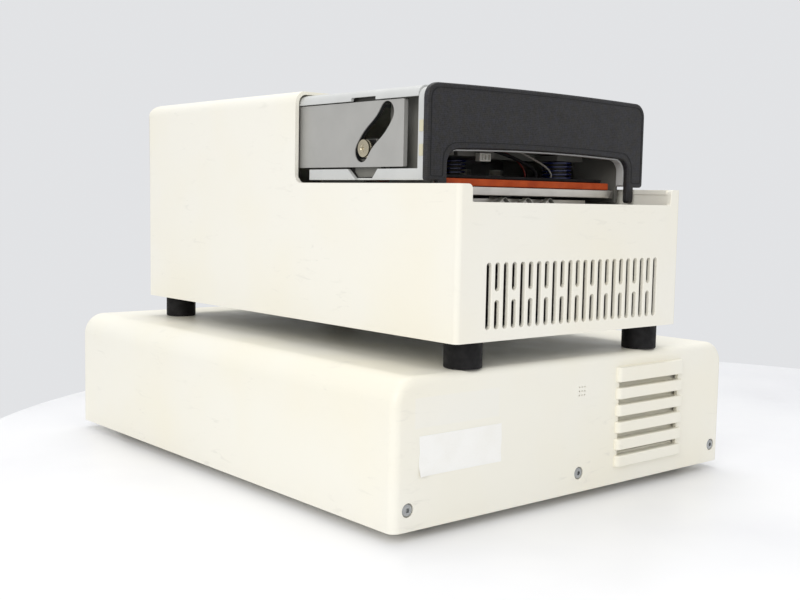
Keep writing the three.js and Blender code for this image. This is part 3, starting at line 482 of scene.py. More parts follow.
def cream_surface(name, colour, grain, relief, roughness, ghost=None):
    """Warm white paint or plastic: fine grain, faint yellowing, soft grey scuffs, grime along edges."""
    f = Finish(name, roughness, Coat_Weight=0.06, Coat_Roughness=0.25)
    yellowed = (colour[0], colour[1] * 0.985, colour[2] * 0.94)
    base = f.mixed(f.ranged(f.noise(95, 2), 0.42, 0.68, 0.0, 1.0), colour, yellowed)
    if ghost:
        base = f.mixed(f.math("MULTIPLY", f.within(*ghost), 0.3), base, linear(241, 240, 236))
    streaks = f.noise(7, 6, f.stretched(0.35, 0.35, 1.6), 1.2)
    patches = f.ranged(f.noise(60, 2), 0.5, 0.66, 0.0, 1.0)
    scuffs = f.math("MULTIPLY", f.ranged(streaks, 0.60, 0.74, 0.0, 0.35), patches)
    base = f.mixed(scuffs, base, shade(colour, 0.72))
    rub = f.math("MULTIPLY", f.edges(0.5), f.ranged(f.noise(5, 4), 0.45, 0.75, 0.0, 0.25))
    base = f.mixed(rub, base, shade((colour[0], colour[1] * 0.97, colour[2] * 0.88), 0.70))
    f.colour(base)
    f.roughness(f.ranged(f.noise(18, 4), 0.3, 0.7, roughness - 0.06, roughness + 0.09))
    f.bump(f.noise(grain, 2), relief)
    f.bump(f.noise(45, 1), 0.05, 0.5)
    return f


def plastic(name, colour, roughness, grain=0.5, relief=0.012, variation=0.12, wear=0.35, **sockets):
    """Moulded plastic with a fine spark-eroded grain and rubbed edges."""
    f = Finish(name, roughness, **sockets)
    base = f.mixed(f.ranged(f.noise(22, 3), 0.35, 0.65, 0.0, 1.0), shade(colour, 1 - variation), colour)
    rub = f.math("MULTIPLY", f.edges(0.5), f.ranged(f.noise(3, 4), 0.4, 0.7, 0.0, wear))
    lighter = tuple(min(1.0, channel * 1.5 + 0.03) for channel in colour)
    f.colour(f.mixed(rub, base, lighter))
    f.roughness(f.ranged(f.noise(9, 4), 0.3, 0.7, roughness - 0.07, roughness + 0.10))
    f.bump(f.noise(grain, 2), relief)
    return f


def metal(name, colour, roughness, brush=(1, 1, 1), grain=0.6, relief=0.006, tarnish=0.25, **sockets):
    """Bare or plated metal: brushed or tumbled grain, cloudy roughness, dull spots, bright edges."""
    f = Finish(name, roughness, 1.0, **sockets)
    along = f.stretched(*brush)
    dull = f.ranged(f.noise(14, 4), 0.45, 0.7, 0.0, tarnish)
    base = f.mixed(dull, colour, shade(colour, 0.55))
    f.colour(f.mixed(f.math("MULTIPLY", f.edges(0.4), 0.5), base, tuple(min(1, c * 1.25) for c in colour)))
    streaks = f.noise(grain, 3, along)
    cloudy = f.math("ADD", streaks, f.noise(10, 3))
    f.roughness(f.ranged(cloudy, 0.7, 1.3, roughness - 0.08, roughness + 0.12))
    f.bump(streaks, relief)
    return f


GHOST_LABEL = {"x": (-139.5, -73), "z": (57, 75)}


def cover_cream():
    """The control unit's paint, with the paler ghost of an old label on its front."""
    x = tuple(CONTROL.x + value * MM for value in GHOST_LABEL["x"])
    z = tuple(CONTROL.z + value * MM for value in GHOST_LABEL["z"])
    return cream_surface("cover_cream", linear(244, 241, 229), 0.8, 0.010, 0.42, (x, z, CONTROL.y + MM))


def bezel_film():
    """Charcoal with a fine, mottled, woven-looking print."""
    f = Finish("bezel_charcoal", 0.5, Specular_IOR_Level=0.3)
    threads = f.math("ADD", f.weave(1.1, "X"), f.weave(1.1, "Z"))
    mottle = f.math("ADD", f.cells(1.3), f.noise(1.8, 3))
    print_tone = f.ranged(f.math("ADD", threads, f.math("MULTIPLY", mottle, 1.6)), 1.0, 3.4, 0.0, 1.0)
    tint = f.mixed(f.ranged(f.noise(4, 4), 0.35, 0.65, 0.0, 1.0), linear(48, 46, 43), linear(48, 48, 54))
    f.colour(f.mixed(print_tone, linear(22, 21, 21), tint))
    f.roughness(f.ranged(f.noise(12, 3), 0.3, 0.7, 0.38, 0.56))
    f.bump(threads, 0.012, 0.8)
    f.bump(mottle, 0.012, 0.6)
    return f


def silicone():
    f = Finish("silicone_orange", 0.75, Specular_IOR_Level=0.25)
    base = f.mixed(f.ranged(f.noise(9, 4), 0.35, 0.7, 0.0, 1.0), linear(196, 84, 36), linear(172, 66, 26))
    pores = f.ranged(f.cells(1.6), 0.0, 0.22, 1.0, 0.0)
    f.colour(f.mixed(f.math("MULTIPLY", pores, 0.5), base, linear(110, 44, 26)))
    f.roughness(f.ranged(f.noise(6, 3), 0.3, 0.7, 0.62, 0.85))
    f.bump(f.cells(1.6), 0.06, 0.5)
    f.bump(f.noise(0.7, 3), 0.02)
    return f


def rubber():
    f = Finish("rubber_black", 0.6, Specular_IOR_Level=0.3)
    dusty = f.ranged(f.noise(8, 5), 0.45, 0.75, 0.0, 1.0)
    base = f.mixed(dusty, linear(9, 8, 9), linear(24, 22, 23))
    f.colour(f.mixed(f.math("MULTIPLY", f.edges(0.8), 0.35), base, linear(56, 53, 52)))
    f.roughness(f.ranged(f.noise(5, 4), 0.3, 0.7, 0.55, 0.82))
    f.bump(f.noise(0.5, 2), 0.02)
    return f


def circuit():
    """Solder mask over tracks and pads."""
    f = Finish("circuit_green", 0.35, Coat_Weight=0.3, Coat_Roughness=0.15)
    tracks = f.ranged(f.cells(3.2, "DISTANCE_TO_EDGE", f.stretched(1, 0.25, 0.25)), 0.06, 0.10, 1.0, 0.0)
    base = f.mixed(f.noise(30, 2), linear(24, 86, 44), linear(38, 110, 56))
    base = f.mixed(tracks, base, linear(70, 142, 84))
    pads = f.ranged(f.cells(5.0), 0.10, 0.13, 1.0, 0.0)
    f.colour(f.mixed(pads, base, linear(200, 198, 190)))
    f.roughness(f.ranged(f.noise(8, 3), 0.3, 0.7, 0.28, 0.45))
    f.bump(tracks, 0.05, 0.6)
    return f


def paper():
    """A printed-stock label: off-white, fibrous, a little grubby in patches."""
    f = Finish("paper_label", 0.62)
    grubby = f.ranged(f.noise(22, 3), 0.45, 0.75, 0.0, 0.6)
    base = f.mixed(grubby, linear(249, 248, 244), linear(243, 241, 234))
    fibres = f.noise(0.35, 4, f.stretched(0.3, 1, 1))
    f.colour(f.mixed(f.ranged(fibres, 0.55, 0.8, 0.0, 0.3), base, linear(232, 228, 216)))
    f.roughness(f.ranged(f.noise(4, 3), 0.3, 0.7, 0.5, 0.75))
    f.bump(fibres, 0.01, 0.5)
    f.bump(f.noise(12, 2), 0.05, 0.5)
    return f


def table_top():
    f = Finish("table_white", 0.34, Coat_Weight=0.15, Coat_Roughness=0.2)
    cloudy = f.ranged(f.noise(160, 3), 0.4, 0.65, 0.0, 1.0)
    f.colour(f.mixed(cloudy, linear(247, 247, 248), linear(241, 241, 243)))
    f.roughness(f.ranged(f.noise(40, 4), 0.3, 0.7, 0.28, 0.42))
    f.bump(f.noise(1.2, 2), 0.01)
    return f


CREAM_PAINT = cover_cream().material
CREAM_PLASTIC = cream_surface("housing_cream", linear(244, 241, 230), 0.6, 0.008, 0.45).material
CHARCOAL = bezel_film().material
LIGHT_GREY = plastic("light_grey_plastic", linear(206, 207, 205), 0.42, variation=0.06, wear=0.2).material
PALE_TAB = plastic("tab_cream", linear(214, 208, 180), 0.5, variation=0.1).material
CAM_GREY = plastic("cam_grey", linear(176, 175, 171), 0.40, grain=0.35, relief=0.006, variation=0.07,
                   wear=0.5, Metallic=0.25).material
DARK_GREY = plastic("dark_grey", linear(74, 73, 68), 0.5, variation=0.15).material
LIFT_GREY = plastic("lift_grey", linear(122, 121, 115), 0.5, variation=0.12, Specular_IOR_Level=0.3).material
SILICONE = silicone().material
RUBBER = rubber().material
BLACK_PLASTIC = plastic("plastic_black", linear(34, 34, 36), 0.45, wear=0.25).material
ALUMINIUM = metal("aluminium_bare", linear(222, 218, 211), 0.36, (0.06, 1, 1), tarnish=0.15).material
STEEL = metal("steel_zinc", linear(176, 178, 178), 0.36, (1, 0.08, 1)).material
NICKEL = metal("nickel", linear(200, 190, 166), 0.24, grain=0.3, tarnish=0.45).material
BRONZE = metal("brass_nut", linear(188, 150, 82), 0.30).material
CIRCUIT = circuit().material
SPRING_BLUE = plastic("spring_blue", linear(24, 36, 104), 0.3, grain=1.5, relief=0.01, wear=0.5,
                      Coat_Weight=0.5, Coat_Roughness=0.1).material
NYLON = plastic("plastic_white", linear(226, 224, 214), 0.45, variation=0.06, wear=0.1).material
CERAMIC = plastic("ceramic_white", linear(228, 226, 220), 0.6, grain=0.2, variation=0.08).material
PAPER = paper().material
WIRE_RED = plastic("wire_red", linear(118, 34, 26), 0.4, grain=2.0).material
WIRE_WHITE = plastic("wire_white", linear(158, 154, 146), 0.4, grain=2.0).material
SEAT_BROWN = plastic("seat_grey_brown", linear(78, 72, 62), 0.6, variation=0.2).material
TABLE_WHITE = table_top().material


def piece(name, bm, origin, material, body, *nodes, smooth=35):
    """Puts a mesh made in a local frame into the scene, on its body, in place of the CAD nodes named."""
    mesh = bpy.data.meshes.new(name)
    bm.to_mesh(mesh)
    bm.free()
    mesh.transform(Matrix.Translation(origin) @ Matrix.Scale(MM, 4))
    mesh.materials.append(material)
    for face in mesh.polygons:
        face.use_smooth = True
    mesh.set_sharp_from_angle(angle=math.radians(smooth))
    obj = bpy.data.objects.new(name, mesh)
    bpy.context.scene.collection.objects.link(obj)
    normals = obj.modifiers.new("normals", "WEIGHTED_NORMAL")
    normals.keep_sharp = True
    normals.weight = 80
    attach(obj, body)
    if nodes:
        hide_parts(*nodes)


def eased_node(node, origin, material, body, width=0.3, segments=2):
    """A CAD node's own shape with its edges eased."""
    bm = eased(from_node(node, origin), width, segments)
    piece(node + "_visual", bm, origin, material, body, node)


# ---------------------------------------------------------------- control unit

CONTROL_WALL = 2.5
SCREW_SPOTS = {"left": -143.2, "middle": 0, "right": 143.2}
SCREW_HEIGHT = 12.3
SOUND_HOLES = {"x": 0.8, "z": 65, "pitch": 2.6, "radius": 0.6}
LOUVRE = {"left": 34.5, "right": 104, "inset": 3, "slot": 3.8, "pitch": 11.25, "top_z": 65.6, "top_rib": 9.9,
          "count": 5, "reach": 3.2, "end": 2.9, "overrun": 7}


def louvre_slot_z(i):
    return LOUVRE["top_z"] - i * LOUVRE["pitch"]


def louvre_rib(i):
    plan = fillet([(LOUVRE["left"], 1.2), (LOUVRE["left"], -LOUVRE["reach"], LOUVRE["end"]),
                   (LOUVRE["right"], -LOUVRE["reach"], LOUVRE["end"]), (LOUVRE["right"], 1.2)], 7)
    bottom = louvre_slot_z(i) + LOUVRE["slot"] / 2
    height = LOUVRE["top_rib"] if i == 0 else LOUVRE["pitch"] - LOUVRE["slot"]
    return eased(prism("z", plan, bottom, bottom + height), 1.0, 4, clamp=False)


def louvre_hood(i):
    """A moulded lip inside the cover that leans back over a slot."""
    foot, top = louvre_slot_z(i) - LOUVRE["slot"] / 2 - 3.4, louvre_slot_z(i) + LOUVRE["slot"] / 2 + 1.2
    section = [(CONTROL_WALL - 0.4, foot), (CONTROL_WALL + 1.2, foot), (CONTROL_WALL + 5.2, top),
               (CONTROL_WALL + 3.8, top), (CONTROL_WALL + 0.4, foot + 1.4), (CONTROL_WALL - 0.4, foot + 1.4)]
    return prism("x", section, LOUVRE["left"] - LOUVRE["overrun"], LOUVRE["right"] + LOUVRE["overrun"])


def control_cover():
    top = (COVER[1].z - COVER[0].z) / MM
    half = (COVER[1].x - COVER[0].x) / MM / 2
    ends = (0, CONTROL_DEPTH)
    body = prism("y", arch(half, 0, top, 16, 14), *ends)
    body = rounded_ring(body, 5.5, 7, lambda a, b: abs(a.y - b.y) < 1e-4 and a.z + b.z > 1e-4
                        and min(abs(a.y - end) for end in ends) < 1e-4)
    inside = prism("y", arch(half - CONTROL_WALL, -1, top - CONTROL_WALL, 13.5, 10), CONTROL_WALL,
                   CONTROL_DEPTH + 1)
    slots = [block((LOUVRE["left"] + LOUVRE["inset"], LOUVRE["right"] - LOUVRE["inset"]),
                   (-1, CONTROL_WALL + 1),
                   (louvre_slot_z(i) - LOUVRE["slot"] / 2, louvre_slot_z(i) + LOUVRE["slot"] / 2))
             for i in range(LOUVRE["count"])]
    seat = [(0, -1), (4.1, -1), (4.1, 2.3), (2, 2.3), (2, CONTROL_WALL + 1), (0, CONTROL_WALL + 1)]
    seats = [turned("y", seat, 32, (x, SCREW_HEIGHT)) for x in SCREW_SPOTS.values()]
    body = eased(carved(body, inside, joined(*slots), joined(*seats)), 0.3, 2, 40)
    holes = []
    for column in (-1, 0, 1):
        for row in (-1, 0, 1):
            spot = (SOUND_HOLES["x"] + column * SOUND_HOLES["pitch"],
                    SOUND_HOLES["z"] + row * SOUND_HOLES["pitch"])
            holes.append(prism("y", circle(SOUND_HOLES["radius"], 16, spot), -1, CONTROL_WALL + 1))
    body = carved(body, joined(*holes))
    ribs = [louvre_rib(i) for i in range(LOUVRE["count"] + 1)]
    hoods = [louvre_hood(i) for i in range(LOUVRE["count"])]
    whole = joined(body, *ribs, *hoods)
    piece("control_cover_shell", whole, CONTROL, CREAM_PAINT, "chassis", "control_cover")


def hex_screw(radius, height, length, hex_radius):
    """A low-head socket screw whose face looks towards -Y, with its face at y = 0."""
    profile = [(0, 0), (radius - 1.3, 0), (radius - 0.5, 0.2), (radius - 0.1, 0.65), (radius, 1.1),
               (radius, height), (radius * 0.45, height), (radius * 0.45, length), (0, length)]
    socket = prism("y", circle(hex_radius, 6), -1, height * 0.75)
    return eased(carved(turned("y", profile, 40), socket), 0.1, 2)


def cover_screws():
    for place, x in SCREW_SPOTS.items():
        bm = moved(hex_screw(3.8, 1.9, 11.9, 1.45), x, 0.1, SCREW_HEIGHT)
        piece(f"cover_screw_{place}_head", bm, CONTROL, STEEL, "chassis", f"cover_screw_{place}")


def curled_sheet(x, z, thickness, lift, columns=26, rows=12):
    """A paper rectangle on the front face whose lower left corner has started to lift."""
    bm = bmesh.new()
    layers = []
    for offset in (0, thickness):
        grid = []
        for i in range(columns + 1):
            line = []
            for j in range(rows + 1):
                u, v = i / columns, j / rows
                peel = lift * max(0.0, 1 - math.hypot(u * 1.6, v * 1.1) / 0.34) ** 2
                ripple = 0.03 * math.sin(9 * u + 2) * math.sin(5 * v)
                wander = 0.25 * math.sin(11 * v + 1) if i in (0, columns) else 0
                depth = -0.08 - offset - peel - abs(ripple)
                across, up = x[0] + (x[1] - x[0]) * u + wander, z[0] + (z[1] - z[0]) * v
                line.append(bm.verts.new((across, depth, up)))
            grid.append(line)
        layers.append(grid)
    for grid in layers:
        for i in range(columns):
            for j in range(rows):
                bm.faces.new((grid[i][j], grid[i + 1][j], grid[i + 1][j + 1], grid[i][j + 1]))
    near, far = layers
    rim = ([(i, 0) for i in range(columns)] + [(columns, j) for j in range(rows)]
           + [(i, rows) for i in range(columns, 0, -1)] + [(0, j) for j in range(rows, 0, -1)])
    for (i, j), (k, m) in zip(rim, rim[1:] + rim[:1]):
        bm.faces.new((near[i][j], near[k][m], far[k][m], far[i][j]))
    bmesh.ops.recalc_face_normals(bm, faces=bm.faces)
    return bm


def front_label():
    piece("front_label_blank", curled_sheet((-135.5, -71), (30, 53), 0.1, 1.4), CONTROL, PAPER, "chassis")


def low_feet():
    profile = [(0, -4.4), (3.4, -4.4), (3.4, -6), (8.8, -6), (9.6, -5.7), (10, -5), (9.8, -1), (9.2, 0.5),
               (0, 0.5)]
    for end in ("front", "rear"):
        for hand in ("left", "right"):
            node = f"control_foot_{end}_{hand}"
            low, high = local_box(node, CONTROL)
            centre = (low + high) / 2
            foot = turned("z", profile, 40, (centre.x, centre.y))
            piece(node + "_rubber", foot, CONTROL, RUBBER, "chassis", node)
            screw = rotated(hex_screw(2.9, 1.2, 1.6, 1.1), math.pi / 2, "X")
            piece(node + "_screw", moved(screw, centre.x, centre.y, -5.9), CONTROL, STEEL, "chassis")


def panel_screws(name, spots, face, origin, radius):
    """Cross-head panel screws that look towards +Y."""
    for i, (x, z) in enumerate(spots):
        profile = [(0, 1.2), (radius * 0.6, 1.1), (radius * 0.9, 0.75), (radius, 0.3), (radius, -0.4),
                   (0, -0.4)]
        long, short = (-radius * 0.55, radius * 0.55), (-0.35, 0.35)
        cross = [block(long, (0.5, 2), short), block(short, (0.5, 2), long)]
        bm = carved(turned("y", profile, 32), fused(*cross))
        piece(f"{name}_{i + 1}", moved(bm, x, face, z), origin, STEEL, "chassis")


def contacts(name, node, origin, rows, upright=False):
    """A black insert with rows of gilt contacts, down in a socket's recess."""
    low, high = local_box(node, origin)
    rim = 1.6
    floor = high.y - 5.5
    insert = block((low.x + rim, high.x - rim), (low.y + 2, floor), (low.z + rim, high.z - rim))
    piece(name + "_insert", eased(insert, 0.3), origin, BLACK_PLASTIC, "chassis")
    long_axis = (low.z, high.z) if upright else (low.x, high.x)
    short_middle = (low.x + high.x) / 2 if upright else (low.z + high.z) / 2
    count = max(4, int((long_axis[1] - long_axis[0] - 8) / 2.8))
    pins = []
    for row in range(rows):
        offset = (row - (rows - 1) / 2) * 3.2
        for k in range(count):
            along = (long_axis[0] + long_axis[1]) / 2 + (k - (count - 1) / 2 + 0.5 * (row % 2)) * 2.8
            spot = (short_middle + offset, along) if upright else (along, short_middle + offset)
            profile = [(0, floor - 1), (0.5, floor - 1), (0.5, floor + 2.6), (0.3, floor + 3),
                       (0, floor + 3.1)]
            pins.append(turned("y", profile, 12, spot))
    piece(name + "_pins", joined(*pins), origin, BRONZE, "chassis")


def mains_inlet():
    bm = eased(from_node("mains_inlet", CONTROL), 0.35, 2)
    piece("mains_inlet_moulding", bm, CONTROL, BLACK_PLASTIC, "chassis", "mains_inlet")
    left = -135
    blades = []
    for x, z in ((9, 38.5), (15, 44), (21, 38.5)):
        blade = block((left + x - 0.9, left + x + 0.9), (375, 387.2), (z - 2.1, z + 2.1))
        blades.append(eased(blade, 0.3, 2))
    piece("mains_inlet_blades", joined(*blades), CONTROL, STEEL, "chassis")
    eased_node("mains_rocker", CONTROL, BLACK_PLASTIC, "rocker", 0.5, 3)


def fan_rotor(node, origin, body):
    """A hub and seven curved, twisted blades."""
    low, high = local_box(node, origin)
    x, z = (low.x + high.x) / 2, (low.z + high.z) / 2
    tip, hub = (high.x - low.x) / 2 - 0.1, 17
    front, back = low.y, high.y
    centre_y = (front + back) / 2
    profile = [(0, front + 2.2), (hub - 3, front + 2.2), (hub - 0.8, front + 3), (hub, front + 4.6),
               (hub, back), (0, back)]
    parts = [turned("y", profile, 48, (x, z))]
    spans, chord = 7, 8
    for n in range(7):
        blade = bmesh.new()
        faces = []
        for skin in (-0.7, 0.7):
            grid = []
            for i in range(spans + 1):
                r = hub - 1 + (tip - hub + 1) * i / spans
                pitch = math.radians(44 - 14 * i / spans)
                line = []
                for j in range(chord + 1):
                    t = j / chord - 0.5
                    turn = 2 * math.pi * n / 7 + 15 * t * math.cos(pitch) / r + 0.22 * i / spans
                    rise = 14 * t * math.sin(pitch) + 1.6 * (1 - 4 * t * t)
                    thick = skin * (1 - 3.2 * t * t)
                    line.append(blade.verts.new((x + r * math.cos(turn), centre_y + rise + thick,
                                                 z + r * math.sin(turn))))
                grid.append(line)
            faces.append(grid)
        for grid in faces:
            for i in range(spans):
                for j in range(chord):
                    blade.faces.new((grid[i][j], grid[i + 1][j], grid[i + 1][j + 1], grid[i][j + 1]))
        a, b = faces
        for i in range(spans):
            for j in (0, chord):
                blade.faces.new((a[i][j], a[i + 1][j], b[i + 1][j], b[i][j]))
        for j in range(chord):
            for i in (0, spans):
                blade.faces.new((a[i][j], a[i][j + 1], b[i][j + 1], b[i][j]))
        bmesh.ops.recalc_face_normals(blade, faces=blade.faces)
        parts.append(blade)
    piece(node + "_blades", joined(*parts), origin, BLACK_PLASTIC, body, node)


def blank_label(name, x, z, face, origin):
    """A blank rating plate that looks towards +Y."""
    bm = prism("y", rectangle(*x, *z, 1.5, 4), face, face + 0.25)
    piece(name, eased(bm, 0.08, 1), origin, ALUMINIUM, "chassis")


def control_unit():
    control_cover()
    cover_screws()
    front_label()
    low_feet()
    eased_node("control_base_tray", CONTROL, CREAM_PAINT, "chassis", 0.4)
    rear_panel("control_rear_panel", CONTROL, lambda low, high: arch(high.x, low.z, high.z, 13, 10))
    eased_node("control_power_supply", CONTROL, STEEL, "chassis", 0.8, 3)
    eased_node("control_board", CONTROL, CIRCUIT, "chassis", 0.25)
    eased_node("control_sounder", CONTROL, BLACK_PLASTIC, "chassis", 0.5)
    eased_node("control_fan_frame", CONTROL, BLACK_PLASTIC, "chassis", 0.5)
    fan_rotor("control_fan_rotor", CONTROL, "control_fan")
    mains_inlet()
    eased_node("control_link_socket", CONTROL, NICKEL, "chassis", 0.25)
    eased_node("data_socket", CONTROL, NICKEL, "chassis", 0.25)
    contacts("control_link", "control_link_socket", CONTROL, 2)
    contacts("data_port", "data_socket", CONTROL, 2)
    low, high = local_box("control_rear_panel", CONTROL)
    spots = [(low.x + 7, low.z + 7), (high.x - 7, low.z + 7), (low.x + 9, high.z - 14),
             (high.x - 9, high.z - 14)]
    panel_screws("control_panel_screw", spots, high.y, CONTROL, 2.7)
    blank_label("control_rating_plate", (-50, 12), (60, 74), high.y, CONTROL)


# ---------------------------------------------------------------- module: housing and chassis

VENT = {"count": 23, "pitch": 7, "half": 2, "bottom": 6.9, "top": 45.5, "bar": (23.8, 29)}
VENT_FIELD = 82
DECK = {"z": 90.2, "ledge": 91.3, "wall": 3.2, "vent_wall": 2.4, "garage": 159, "front_roof": 150.3,
        "back_roof": 150.8, "roof_inside": 148.2, "notch": 80, "floor": 80.2, "ledge_back": 152}


def vent_slots():
    """Upright slots with round ends and soft lips: every second one is split by a bar."""
    slots = []
    for i in range(VENT["count"]):
        x = (i - (VENT["count"] - 1) / 2) * VENT["pitch"]
        spans = [(VENT["bottom"], VENT["top"])]
        if i % 2:
            spans = [(VENT["bottom"], VENT["bar"][0]), (VENT["bar"][1], VENT["top"])]
        for low, high in spans:
            def outline(extra, x=x, low=low, high=high):
                half = VENT["half"] + extra
                return rectangle(x - half, x + half, low - extra, high + extra, half * 0.95, 5)

            slots.append(lipped("y", outline, 0, 1, DECK["wall"] + 1))
    return slots


def notch_outline(extra):
    """The low stretch of the front wall, with rounded shoulders."""
    floor, ledge, deck, flare = DECK["notch"] - extra, DECK["ledge"] + extra, DECK["z"] + 0.01, 3.2
    return fillet([(-ledge, floor, 1.2), (ledge, floor, 1.2), (ledge, deck, flare), (ledge + 4, deck),
                   (ledge + 4, deck + 1), (-ledge - 4, deck + 1), (-ledge - 4, deck),
                   (-ledge, deck, flare)], 8)


def mouth_outline(extra):
    ledge = DECK["ledge"] + extra
    return rectangle(-ledge, ledge, DECK["wall"], DECK["garage"] + 0.5, 0.8, 4)


def garage_outline(extra):
    half = (HOUSING[1].x - HOUSING[0].x) / MM / 2 - DECK["wall"]
    return arch(half + extra, DECK["floor"], DECK["roof_inside"] + extra, 5.8, 8)


def housing():
    half = (HOUSING[1].x - HOUSING[0].x) / MM / 2
    depth = (HOUSING[1].y - HOUSING[0].y) / MM
    wall, deck, ledge = DECK["wall"], DECK["z"], DECK["ledge"]
    side_view = fillet([(0, 0), (0, deck), (DECK["garage"], deck, 6), (DECK["garage"], DECK["front_roof"]),
                        (depth, DECK["back_roof"], 8), (depth, 0)], 10)
    along = prism("x", side_view, -half, half)
    across = prism("y", arch(half, -1, DECK["back_roof"], 9, 12), -1, depth + 1)
    body = shared(along, across)
    body = rounded_ring(body, 3.2, 6, lambda a, b: abs(a.x - b.x) < 1e-3 and abs(a.y - b.y) < 1e-3
                        and abs(abs(a.x) - half) < 1e-3 and min(a.y, depth - a.y) < 1e-3)
    body = eased(body, 1.2, 4, 50)
    under_deck = block((wall - half, half - wall), (wall, depth - wall), (-1, deck - wall), 1.5)
    garage = prism("y", garage_outline(0), DECK["ledge_back"], depth - wall)
    garage_lip = lipped("y", garage_outline, DECK["garage"], 1, DECK["garage"] + 3)
    mouth = lipped("z", mouth_outline, deck, -1, 70)
    notch = lipped("y", notch_outline, 0, 1, wall + 1)
    thinned = block((-VENT_FIELD, VENT_FIELD), (DECK["vent_wall"], wall + 1), (4, VENT["top"] + 3), 1)
    panel = local_box("module_rear_panel", MODULE)
    rear = block((panel[0].x - 0.3, panel[1].x + 0.3), (depth - wall - 1, depth + 1),
                 (panel[0].z - 0.3, panel[1].z + 0.3))
    body = carved(body, under_deck, garage, garage_lip, mouth, notch, rear, thinned, joined(*vent_slots()))
    run = (wall - 0.5, DECK["ledge_back"] - 0.2)
    skirts = [block(sorted((side * (ledge + 0.6), side * (ledge + 2))), run, (76, deck - 1.5), 0.4)
              for side in (-1, 1)]
    piece("module_housing_shell", joined(body, *skirts), MODULE, CREAM_PLASTIC, "chassis", "module_housing")


def rear_panel(node, origin, outline):
    """A punched sheet: its rim is rolled, its holes are the CAD panel's."""
    low, high = local_box(node, origin)
    sheet = prism("y", outline(low, high), low.y, high.y)
    sheet = rounded_ring(sheet, 0.35, 3, lambda a, b: abs(a.y - high.y) < 1e-4 and abs(b.y - high.y) < 1e-4)
    piece(node + "_sheet", shared(sheet, node_mesh(node, origin)), origin, LIGHT_GREY, "chassis", node)


def tall_feet():
    profile = [(0, -14), (4, -14), (4.2, -16.2), (10.7, -16.2), (11.3, -15.9), (11.5, -15.2), (11.5, -9),
               (11.42, -8.8), (11.5, -8.6), (11.5, -1), (11.2, -0.3), (10.5, 0.1), (0, 0.1)]
    for end in ("front", "rear"):
        for hand in ("left", "right"):
            node = f"module_foot_{end}_{hand}"
            low, high = local_box(node, MODULE)
            centre = (low + high) / 2
            foot = turned("z", profile, 48, (centre.x, centre.y))
            piece(node + "_rubber", foot, MODULE, RUBBER, "chassis", node)


def sample_block():
    """The block with its 96 tapered wells, each with a lead-in at its rim."""
    low, high = local_box("sample_block", MODULE)
    centre = (low + high) / 2
    columns, rows, pitch, depth, sides = 12, 8, 9, 15, 24
    bm = bmesh.new()
    per_side = sides // 4
    for column in range(columns):
        for row in range(rows):
            cx = centre.x + (column - (columns - 1) / 2) * pitch
            cy = centre.y + (row - (rows - 1) / 2) * pitch
            corners = [(1, -1), (1, 1), (-1, 1), (-1, -1)]
            square = []
            for c in range(4):
                (x0, y0), (x1, y1) = corners[c], corners[(c + 1) % 4]
                for k in range(per_side):
                    t = k / per_side
                    square.append((cx + pitch / 2 * (x0 + (x1 - x0) * t),
                                   cy + pitch / 2 * (y0 + (y1 - y0) * t), high.z))
            rings = [[bm.verts.new(p) for p in square]]
            for radius, z in ((3.35, high.z), (3.15, high.z - 0.15), (2.8, high.z - 0.9),
                              (1.7, high.z - depth + 1), (1.2, high.z - depth)):
                ring = circle(radius, sides, (cx, cy), -math.pi / 4)
                rings.append([bm.verts.new((u, v, z)) for u, v in ring])
            for a, b in zip(rings, rings[1:]):
                for k in range(sides):
                    bm.faces.new((a[k - 1], a[k], b[k], b[k - 1]))
            bm.faces.new(rings[-1])
    bmesh.ops.remove_doubles(bm, verts=bm.verts, dist=1e-3)
    rim = [e for e in bm.edges if e.is_boundary]
    half_x, half_y = columns * pitch / 2, rows * pitch / 2
    border = bmesh.ops.extrude_edge_only(bm, edges=rim)
    for v in [g for g in border["geom"] if isinstance(g, bmesh.types.BMVert)]:
        reach = v.co - centre
        if abs(abs(reach.x) - half_x) < 1e-3:
            v.co.x = centre.x + math.copysign((high.x - low.x) / 2, reach.x)
        if abs(abs(reach.y) - half_y) < 1e-3:
            v.co.y = centre.y + math.copysign((high.y - low.y) / 2, reach.y)
    rim = [e for e in bm.edges if e.is_boundary]
    sides_geom = bmesh.ops.extrude_edge_only(bm, edges=rim)
    for v in [g for g in sides_geom["geom"] if isinstance(g, bmesh.types.BMVert)]:
        v.co.z = low.z
    bmesh.ops.contextual_create(bm, geom=[e for e in bm.edges if e.is_boundary])
    bmesh.ops.recalc_face_normals(bm, faces=bm.faces)
    piece("sample_block_wells", eased(bm, 0.25, 2, 60), MODULE, ALUMINIUM, "chassis", "sample_block")


def block_clips():
    """Three sprung clips on the block's front edge: thin strips bent to a crest."""
    low, high = local_box("block_frame", MODULE)
    rise = [(-7.5, 0.1), (-5.2, 0.25), (-1.3, 3.3), (-0.5, 3.65)]
    crest = rise + [(-u, v) for u, v in reversed(rise)]
    under = [(u * 0.92, v - 0.4) for u, v in reversed(crest)]
    for i, x in enumerate((-21, 0, 21)):
        strip = prism("y", [(x + u, high.z + 0.25 + max(v, -0.2)) for u, v in crest + under], 43.5, 48)
        piece(f"block_clip_{i + 1}", eased(strip, 0.12, 2), MODULE, NYLON, "chassis")


